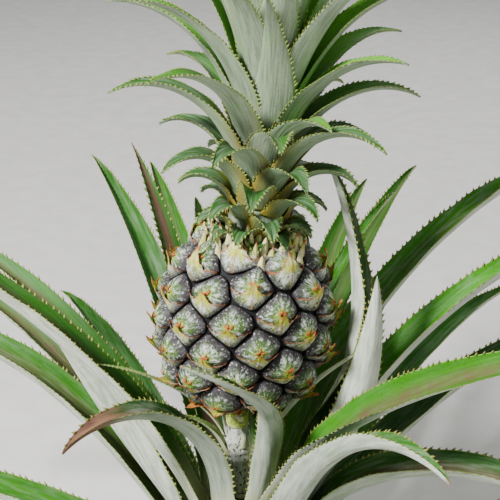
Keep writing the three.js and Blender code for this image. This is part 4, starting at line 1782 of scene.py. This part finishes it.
    def frill_skin(self, frill: Frill) -> Skin:
        """The bracts of a frill. Above the fruit's edge they stand on its flat top, ever further in.

        Args:
            frill: its count and its sizes.

        Returns:
            The skin in the fruit's own frame, with the values that LeafTissue reads.
        """
        random = np.random.default_rng(frill.count)
        skins = []
        for k, tile in enumerate(tiles(frill.count, 6)):
            share = k / (frill.count - 1)
            level = lerp(*frill.span, share)
            z = min(level, self.height)
            radius = float(np.interp(z, self.outline["z"], self.outline["radius"])) - 1.2
            radius -= 0.6 * max(level - self.height, 0.0)
            heading = self.first_heading + (self.eye_count - frill.count // 2 + k) * DIVERGENCE
            growth = Growth(
                foot_at(radius, heading, z),
                heading,
                lerp(*frill.rises, share) + random.uniform(-7, 7),
                frill.droop + random.uniform(-8, 14),
                lerp(*frill.lengths, share) * random.uniform(0.8, 1.2),
                sweep=random.uniform(-14, 14),
            )
            width, dry = frill.width * random.uniform(0.85, 1.15), random.uniform(0.3, 0.9)
            blade = Blade(
                growth, width, 1.6, Section.KEEL, Spines(2.2, 0.5, 0.35, 0.9), channel=0.5, clasp=0.3,
                clasp_radius=radius, scurf=0.5, dry=dry, seed=500 + k,
            )
            skins.append(blade.skin(16, 9, tile))
        return joined(skins)


# Crown: its leaves' sizes by rank, from 0 for the lowest leaf to 1 for the youngest

CROWN_RANKS = {
    "length": ((0, 30), (0.15, 50), (0.35, 98), (0.5, 132), (0.65, 160), (0.8, 150), (1, 95)),
    "width": ((0, 23), (0.2, 29), (0.5, 36), (0.7, 36), (1, 22)),
    "rise": ((0, 62), (0.2, 68), (0.5, 73), (0.7, 77), (1, 88)),
    "droop": ((0, 130), (0.2, 118), (0.45, 94), (0.6, 78), (0.72, 50), (0.85, 26), (1, 8)),
    "bend": ((0, 1.2), (1, 1.8)),
    "scurf": ((0, 1.0), (0.35, 0.85), (0.6, 0.35), (1, 0.2)),
    # painted shade deepens the low leaves' colours, painted light brightens the high ones
    "tone_and_painted_light": ((0, -0.8), (0.3, -0.5), (0.45, 0.2), (0.6, 0.6), (1, 0.7)),
    "amber": ((0, 1), (0.3, 0.9), (0.55, 0.35), (0.7, 0)),
}
# Leaves with sizes of their own, by their number up the spiral
ODD_CROWN_LEAVES = {
    13: {"length": 78}, 15: {"length": 62}, 18: {"length": 80}, 21: {"length": 124},
    23: {"length": 80}, 26: {"length": 132}, 28: {"length": 70},
    29: {"length": 152, "rise": 76, "droop": 88},
    31: {"length": 122, "width": 48, "rise": 82, "droop": 24},
    33: {"length": 116, "width": 40},
    36: {"length": 90, "width": 24, "rise": 85, "droop": 14},
    38: {"droop": 80},
}


@dataclass
class Crown:
    """The tuft of recurved leaves on the fruit, which carries the fruit's own spiral on."""

    fruit: Fruit
    seat_z: float = 123.35
    height: float = 112.0
    foot_radius: float = 21.0
    tip_radius: float = 6.0
    core_map_radius: float = 15.0  # at which the core's blade map is rolled out
    leaf_count: int = 58
    scale_count: int = 12  # small leaves below the lowest one
    scale_step: float = 0.75  # how much lower each of them stands than the last
    dwarfing: float = 0.035  # how much smaller each of them is, as a share of the lowest leaf
    pieces: int = 4
    rows: int = 42
    columns: int = 11
    spines: Spines = Spines(3.4, 2.5, first=0.08, breadth=0.8)

    def core_radius(self, z: float) -> float:
        """The radius at a height of the short stem that carries the leaves."""
        return lerp(self.foot_radius, self.tip_radius, (z / self.height) ** 1.4)

    def blade(self, k: int) -> Blade:
        """A blade in the fruit's frame.

        Args:
            k: the leaf's number up the spiral, negative for the small leaves below the lowest one.

        Returns:
            The blade.
        """
        rank = max(k, 0) / (self.leaf_count - 1)
        z = lerp(7.0, self.height - 4.0, rank**0.95) + self.scale_step * min(k, 0)
        heading = self.fruit.first_heading + (self.fruit.eye_count + k) * DIVERGENCE
        size = {name: float(np.interp(rank, *zip(*pairs))) for name, pairs in CROWN_RANKS.items()}
        size.update(ODD_CROWN_LEAVES.get(k, {}))
        length = size["length"] * (1.0 + self.dwarfing * min(k, 0))
        radius = self.core_radius(max(z, 0.0)) - 1.0
        foot = foot_at(radius, heading, self.seat_z + z)
        growth = Growth(foot, heading, size["rise"], size["droop"], length, size["bend"])
        return Blade(
            growth, size["width"], 2.0, Section.KEEL, self.spines, channel=0.42, clasp=0.55,
            clasp_radius=radius + 2.0, scurf=size["scurf"], tone_and_painted_light=size["tone_and_painted_light"], amber=size["amber"],
            seed=2000 + 13 * k,
        )

    def core(self) -> Skin:
        """The short stem between the leaves' feet.

        Returns:
            The skin in the fruit's own frame, with the values that LeafTissue reads.
        """
        z = np.linspace(-1.5, self.height, 24)[:, None]
        turn = full_turn(28)
        radius = self.core_radius(np.maximum(z, 0.0)) - 0.8
        rings = about_axis(radius, turn, z + self.seat_z)
        place = stacked(z, self.core_map_radius * turn)
        values = dict.fromkeys(BLADE_VALUES, 0.0) | {"under": 1.0, "along": 1.0}
        return closed_tube(rings, place, Tile(), values)

    def build(self) -> None:
        """Make the leaves in pieces from the lowest to the youngest, and the core."""
        # Darker felt below than on the rosette's leaves, partly as painted shade
        tissue = LeafTissue(
            "Crown leaf tissue",
            deep="#2c5a1c", bright="#62ad1c", felt="#9dab90", felt_shade="#71836a", grain="#4c5b45",
            margin="#8ea043", margin_cover=0.5, amber="#96821c", foot="#979c5c", foot_reach=0.1,
            spine="#7f9a4e", spine_point="#ad9350", felt_pitch=0.8,
        ).build()
        placed_piece("crown_core", self.fruit.carried(self.core()), tissue, "crown_leaf", "crown")
        numbers = np.arange(-self.scale_count, self.leaf_count)
        for piece, ranks in enumerate(np.array_split(numbers, self.pieces), start=1):
            skins = [
                self.blade(int(k)).skin(self.rows, self.columns, tile)
                for k, tile in zip(ranks, tiles(len(ranks), 4))
            ]
            whole = self.fruit.carried(joined(skins))
            placed_piece(f"crown_leaves_{piece}", whole, tissue, "crown_leaf", "crown")


# Stem, stalk, slip and the bracts on the stalk


@dataclass
class Stem:
    """The short stout stem: a solid turned about its axis, roughened by rings of leaf scars."""

    # Radii and heights
    profile: tuple[tuple[float, float], ...] = (
        (35, 0), (30, 9), (28, 24), (28, 112), (23, 134), (14, 147), (12, 150),
    )
    radius: float = 28.0  # over most of its height
    scar_pitch: float = 6.4
    scar_step: float = 1.1  # how far a scar stands out at its lower edge
    bark_inset: float = 1.2
    fibre_relief: float = 0.35
    rings: int = 150
    sides: int = 96

    def skin(self) -> Skin:
        """The bark: scars climb in a low spiral, each a step outward, and fibres roughen them.

        Returns:
            The skin, with the value that StemFibre reads.
        """
        z = np.linspace(0.0, self.profile[-1][1], self.rings)[:, None]
        turn = full_turn(self.sides)
        radii, heights = zip(*self.profile)
        climb = (z / self.scar_pitch + turn / (2.0 * math.pi)) % 1.0
        scar = (1.0 - climb) ** 2.0
        fibre = ripple(about_axis(self.radius, turn, z * 0.35), 4.0, 71)
        raised = smoothstep(z, 0.0, 6.0) * (self.scar_step * scar + self.fibre_relief * fibre)
        radius = np.interp(z, heights, radii) - self.bark_inset + raised
        place = stacked(z, self.radius * turn)
        return closed_tube(about_axis(radius, turn, z), place, Tile(), {"scar": scar})

    def build(self) -> None:
        """Make the bark, which stands for the stem's solid."""
        placed_piece("stem_bark", self.skin(), StemFibre().build(), "stem", "stem")


@dataclass
class Stalk:
    """The fruit's stalk along a cubic Bezier line, with its bracts and the slip."""

    fruit: Fruit
    foot_z: float = 150.0
    gap: float = 0.35
    foot_radius: float = 11.5
    radius: float = 10.0
    head_radius: float = 16.0
    rings: int = 80
    sides: int = 48
    bracts: tuple[tuple[float, ...], ...] = (
        # height, heading, rise, droop, bend, length, width, roll
        (163, 110, 74, 30, 1.3, 84, 13, 0),
        (172, -14, 72, 40, 1, 158, 8, -65),
        (183, 192, 74, 66, 1.3, 58, 13, 0),
        (190, 70, 70, 40, 1.3, 66, 12, 0),
        (192, -62, 84, 10, 1.3, 46, 6, 0),
        (200, 190, 76, 62, 0.6, 122, 8, 0),
    )

    def line(self, along: np.ndarray) -> np.ndarray:
        """Points of the stalk's line: upright from the stem, then along the fruit's axis.

        The curve is (1 - t)^3 A + 3 (1 - t)^2 t B + 3 (1 - t) t^2 C + t^3 D.

        Args:
            along: shares t of the way.

        Returns:
            A point for each share.
        """
        tilt = math.radians(self.fruit.tilt)
        axis = np.array([math.sin(tilt), 0.0, math.cos(tilt)])
        foot = np.array([0.0, 0.0, self.foot_z + self.gap])
        head = np.array(self.fruit.seat) - axis * self.gap
        t = np.asarray(along, float)[..., None]
        second, third = foot + [-3.0, 0.0, 38.0], head - axis * 30.0
        return (1 - t) ** 3 * foot + 3 * (1 - t) ** 2 * t * second + 3 * (1 - t) * t**2 * third + t**3 * head

    def radius_at(self, along: np.ndarray) -> np.ndarray:
        """The stalk's radius at shares of the way: it widens under the fruit."""
        body = lerp(self.foot_radius, self.radius, smoothstep(along, 0.0, 0.3))
        return lerp(body, self.head_radius, smoothstep(along, 0.72, 1.0))

    def off(self, z: float, heading: float) -> np.ndarray:
        """A point just off the stalk's surface.

        Args:
            z: its height.
            heading: its direction from the stalk's line in degrees.

        Returns:
            The point.
        """
        along = (z - self.foot_z) / (self.fruit.seat[2] - self.foot_z)
        way = math.radians(heading)
        out = np.array([math.cos(way), math.sin(way), 0.0])
        return self.line(along) + out * float(self.radius_at(along) + self.gap)

    def skin(self) -> Skin:
        """The stalk's surface with fine ridges along it and a low ring where each bract sits.

        Returns:
            The skin.
        """
        along = np.linspace(0.0, 1.0, self.rings)[:, None]
        turn = full_turn(self.sides)
        line = self.line(along[:, 0])
        axis = unit(np.gradient(line, axis=0))
        across = unit(np.array([1.0, 0.0, 0.0]) - axis * axis[:, :1])
        away = np.cross(axis, across)
        z = line[:, 2][:, None]
        ridges = ripple(about_axis(self.radius, turn, z * 0.25), 3.2, 72)
        nodes = sum(np.exp(-(((z - bract[0]) / 2.2) ** 2)) for bract in self.bracts)
        radius = self.radius_at(along) - 0.3 + 0.28 * ridges + 0.5 * nodes
        rings = line[:, None] + radius[..., None] * (
            across[:, None] * np.cos(turn)[..., None] + away[:, None] * np.sin(turn)[..., None]
        )
        return closed_tube(rings, stacked(z, self.radius * turn), Tile(), {})

    def build(self) -> None:
        """Make the stalk, its bracts and the slip."""
        placed_piece("stalk_skin", self.skin(), ScurfyStalk().build(), "stalk", "fruit_stalk")
        tissue = LeafTissue(
            "Stalk bract tissue", deep="#5c8038", bright="#96b85a", felt="#cdd3be", felt_shade="#a3af8c",
            margin="#bcc582", foot="#d3d4a4", foot_reach=0.3,
        ).build()
        for number, bract in enumerate(self.bracts, start=1):
            z, heading, rise, droop, bend, length, width, roll = bract
            foot = tuple(self.off(z, heading))
            growth = Growth(foot, heading, rise, droop, length, bend, roll=roll)
            blade = Blade(
                growth, width, 1.3, Section.KEEL, Spines(3.4, 1.1, first=0.2), channel=0.34, clasp=0.5,
                clasp_radius=self.radius, scurf=0.35, tone_and_painted_light=0.1, seed=700 + 5 * number,
            )
            skin = blade.skin(54, 11)
            placed_piece(f"stalk_bract_blade_{number}", skin, tissue, "bract", f"stalk_bract_{number}")
        Slip(self).build()


@dataclass
class Slip:
    """The young shoot on the stalk: an egg-shaped bud of closed scales that overlap in a spiral."""

    stalk: Stalk
    radius: float = 7.5
    length: float = 17.0
    axis: tuple[float, float, float] = (0.1, -0.86, 0.5)
    place: tuple[float, float] = (223.0, -84.0)  # height and heading on the stalk
    seat: tuple[float, float, float] = (0.0, -3.4, 1.5)  # from there to the bud's foot
    scale_count: int = 15
    scale_map: tuple[float, float] = (9.0, 6.0)  # a scale's length and half width in the blade map
    map_step: float = 30.0  # between two scales there, so their patterns differ
    body_map_radius: float = 7.0  # at which the body's blade map is rolled out

    def girth(self, share: np.ndarray) -> np.ndarray:
        """The bud's radius at shares of its length: sin(pi share^0.72)^0.62, full below and blunt above."""
        return self.radius * np.sin(math.pi * np.clip(share, 0.0, 1.0) ** 0.72) ** 0.62

    def laid(self, turn: np.ndarray, share: np.ndarray, lift: Grid) -> np.ndarray:
        """Points on the bud or just off it.

        Args:
            turn: turns about the bud's axis in radians.
            share: shares of its length.
            lift: how far the points stand off its surface.

        Returns:
            The points in the plant's frame.
        """
        axis = unit(np.array(self.axis))
        across = unit(np.cross(axis, [0.0, 0.0, 1.0]))
        away = np.cross(axis, across)
        radius = self.girth(share) + lift
        foot = self.stalk.off(*self.place) + np.array(self.seat)
        return (
            foot
            + across * (radius * np.cos(turn))[..., None]
            + away * (radius * np.sin(turn))[..., None]
            + axis * (share * self.length + 0.0 * turn)[..., None]
        )

    def scale(self, k: int, tile: Tile) -> Skin:
        """A scale, broad at its foot and pointed, its tip standing a little off.

        Args:
            k: its number from the lowest, which lies outside the others.
            tile: its part of the bake map.

        Returns:
            The skin, with the values that LeafTissue reads.
        """
        rank = k / (self.scale_count - 1)
        v = np.linspace(0.0, 1.0, 14)[:, None]
        u = np.linspace(-1.0, 1.0, 13)[None, :]
        share = lerp(0.03, 0.6, rank**1.2) + lerp(0.52, 0.42, rank) * v + 0.0 * u
        half = lerp(1.05, 1.5, rank) * (1.0 - v**2.1) + 0.02
        turn = math.radians(DIVERGENCE * k + 40.0) + half * u
        lift = lerp(1.2, 0.1, rank) + 0.9 * v**3 - 0.35 * np.abs(u) ** 2 + 0.25 * np.exp(-((u / 0.2) ** 2))
        long, wide = self.scale_map
        place = stacked(v * long + self.map_step * k, u * wide)
        # a brighter green, as painted light
        values = blade_values(lerp(0.3, 0.9, v), u, scurf=0.2, dry=0.25 * v, tone_and_painted_light=0.3)
        top, under = self.laid(turn, share, lift), self.laid(turn, share, lift - 0.5)
        return closed_sheet(top, under, place, tile, values)

    def build(self) -> None:
        """Make the scales and the bud's body in one piece that stands for the slip's solid."""
        # Pale whitish green scales, painted paler still as painted light where the fruit shades them
        tissue = LeafTissue(
            "Slip scale tissue", deep="#a3c03c", bright="#d6ea6c", felt="#fbfbf0", felt_shade="#c6d87c",
            margin="#d9c79a", foot="#dfe2b8", dry="#b58a5c",
        ).build()
        places = tiles(self.scale_count + 1, 4)
        v = np.linspace(0.01, 0.99, 16)[:, None]
        turn = full_turn(24)
        rings = self.laid(turn, v + 0.0 * turn, -0.5)
        place = stacked(v * self.length, turn * self.body_map_radius)
        body = closed_tube(rings, place, places[-1], dict.fromkeys(BLADE_VALUES, 0.0))
        skins = [self.scale(k, places[k]) for k in range(self.scale_count)]
        placed_piece("slip_scales", joined(skins + [body]), tissue, "bract", "slip_bud")


# Floor, light and camera


@dataclass(frozen=True)
class Studio:
    """A plain pale floor, soft light and the camera at the photograph's angle, in metres and degrees."""

    floor_size: float = 12.0
    target: tuple[float, float, float] = (0.005, 0.0, 0.356)
    distance: float = 0.84
    elevation: float = 24.0
    lens: float = 85.0  # mm
    sensor: float = 36.0  # mm

    def build(self) -> None:
        """Make the floor, the lights and the camera."""
        self.floor()
        self.lights()
        self.camera()

    def floor(self) -> None:
        """A level pale floor under the plant."""
        half = self.floor_size / 2.0
        mesh = bpy.data.meshes.new("studio_floor")
        corners = [(-half, -half, 0), (half, -half, 0), (half, half, 0), (-half, half, 0)]
        mesh.from_pydata(corners, [], [(0, 1, 2, 3)])
        material, tree = new_material("Matte floor paint")
        place = add(tree, "TexCoord").outputs["Object"]
        grain = add(tree, "TexNoise", {"Vector": place, "Scale": 30.0, "Detail": 2.0}).outputs[0]
        colour = coated(tree, "#dedcd6", [Coat("#e6e4df", grain, 0.3, 0.7)])
        surface(tree, colour, 0.9, grain, 0.2)
        mesh.materials.append(material)
        in_scene("studio_floor", mesh)

    def lights(self) -> None:
        """A key lamp high in front on the left, a soft fill on the right, one behind, and a pale sky."""
        for name, place, size, power in (
            ("key_lamp", (-1.34, -1.23, 1.95), 0.36, 147.0),
            ("fill_lamp", (1.7, -1.5, 1.1), 1.6, 7.0),
            ("back_lamp", (0.6, 1.9, 1.9), 1.2, 22.0),
        ):
            lamp = bpy.data.lights.new(name, "AREA")
            lamp.size = size
            lamp.energy = power
            held = in_scene(name, lamp)
            held.location = place
            aim = np.array(self.target) - np.array(place)
            pitch, turn = math.atan2(aim[2], math.hypot(aim[0], aim[1])), math.atan2(aim[1], aim[0])
            held.rotation_euler = (math.pi / 2 + pitch, 0.0, turn - math.pi / 2)
        world = bpy.data.worlds.new("pale_sky")
        world.use_nodes = True
        sky = next(node for node in world.node_tree.nodes if node.type == "BACKGROUND")
        sky.inputs["Color"].default_value = linear("#e8eef2")
        sky.inputs["Strength"].default_value = 0.25
        bpy.context.scene.world = world

    def camera(self) -> None:
        """The camera looks at the target from in front, a little from above."""
        tilt = math.radians(self.elevation)
        lens = bpy.data.cameras.new("camera")
        lens.lens = self.lens
        lens.sensor_width = self.sensor
        lens.clip_start = 0.01
        lens.clip_end = 50.0
        camera = in_scene("camera", lens)
        x, y, z = self.target
        camera.location = (x, y - self.distance * math.cos(tilt), z + self.distance * math.sin(tilt))
        camera.rotation_euler = (math.pi / 2 - tilt, 0.0, 0.0)
        bpy.context.scene.camera = camera


def main() -> None:
    logging.basicConfig(level=logging.INFO, format="%(name)s: %(message)s")
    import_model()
    Studio().build()
    fruit = Fruit()
    fruit.build()
    Crown(fruit).build()
    Stalk(fruit).build()
    Stem().build()
    Rosette().build()


if __name__ == "__main__":
    main()
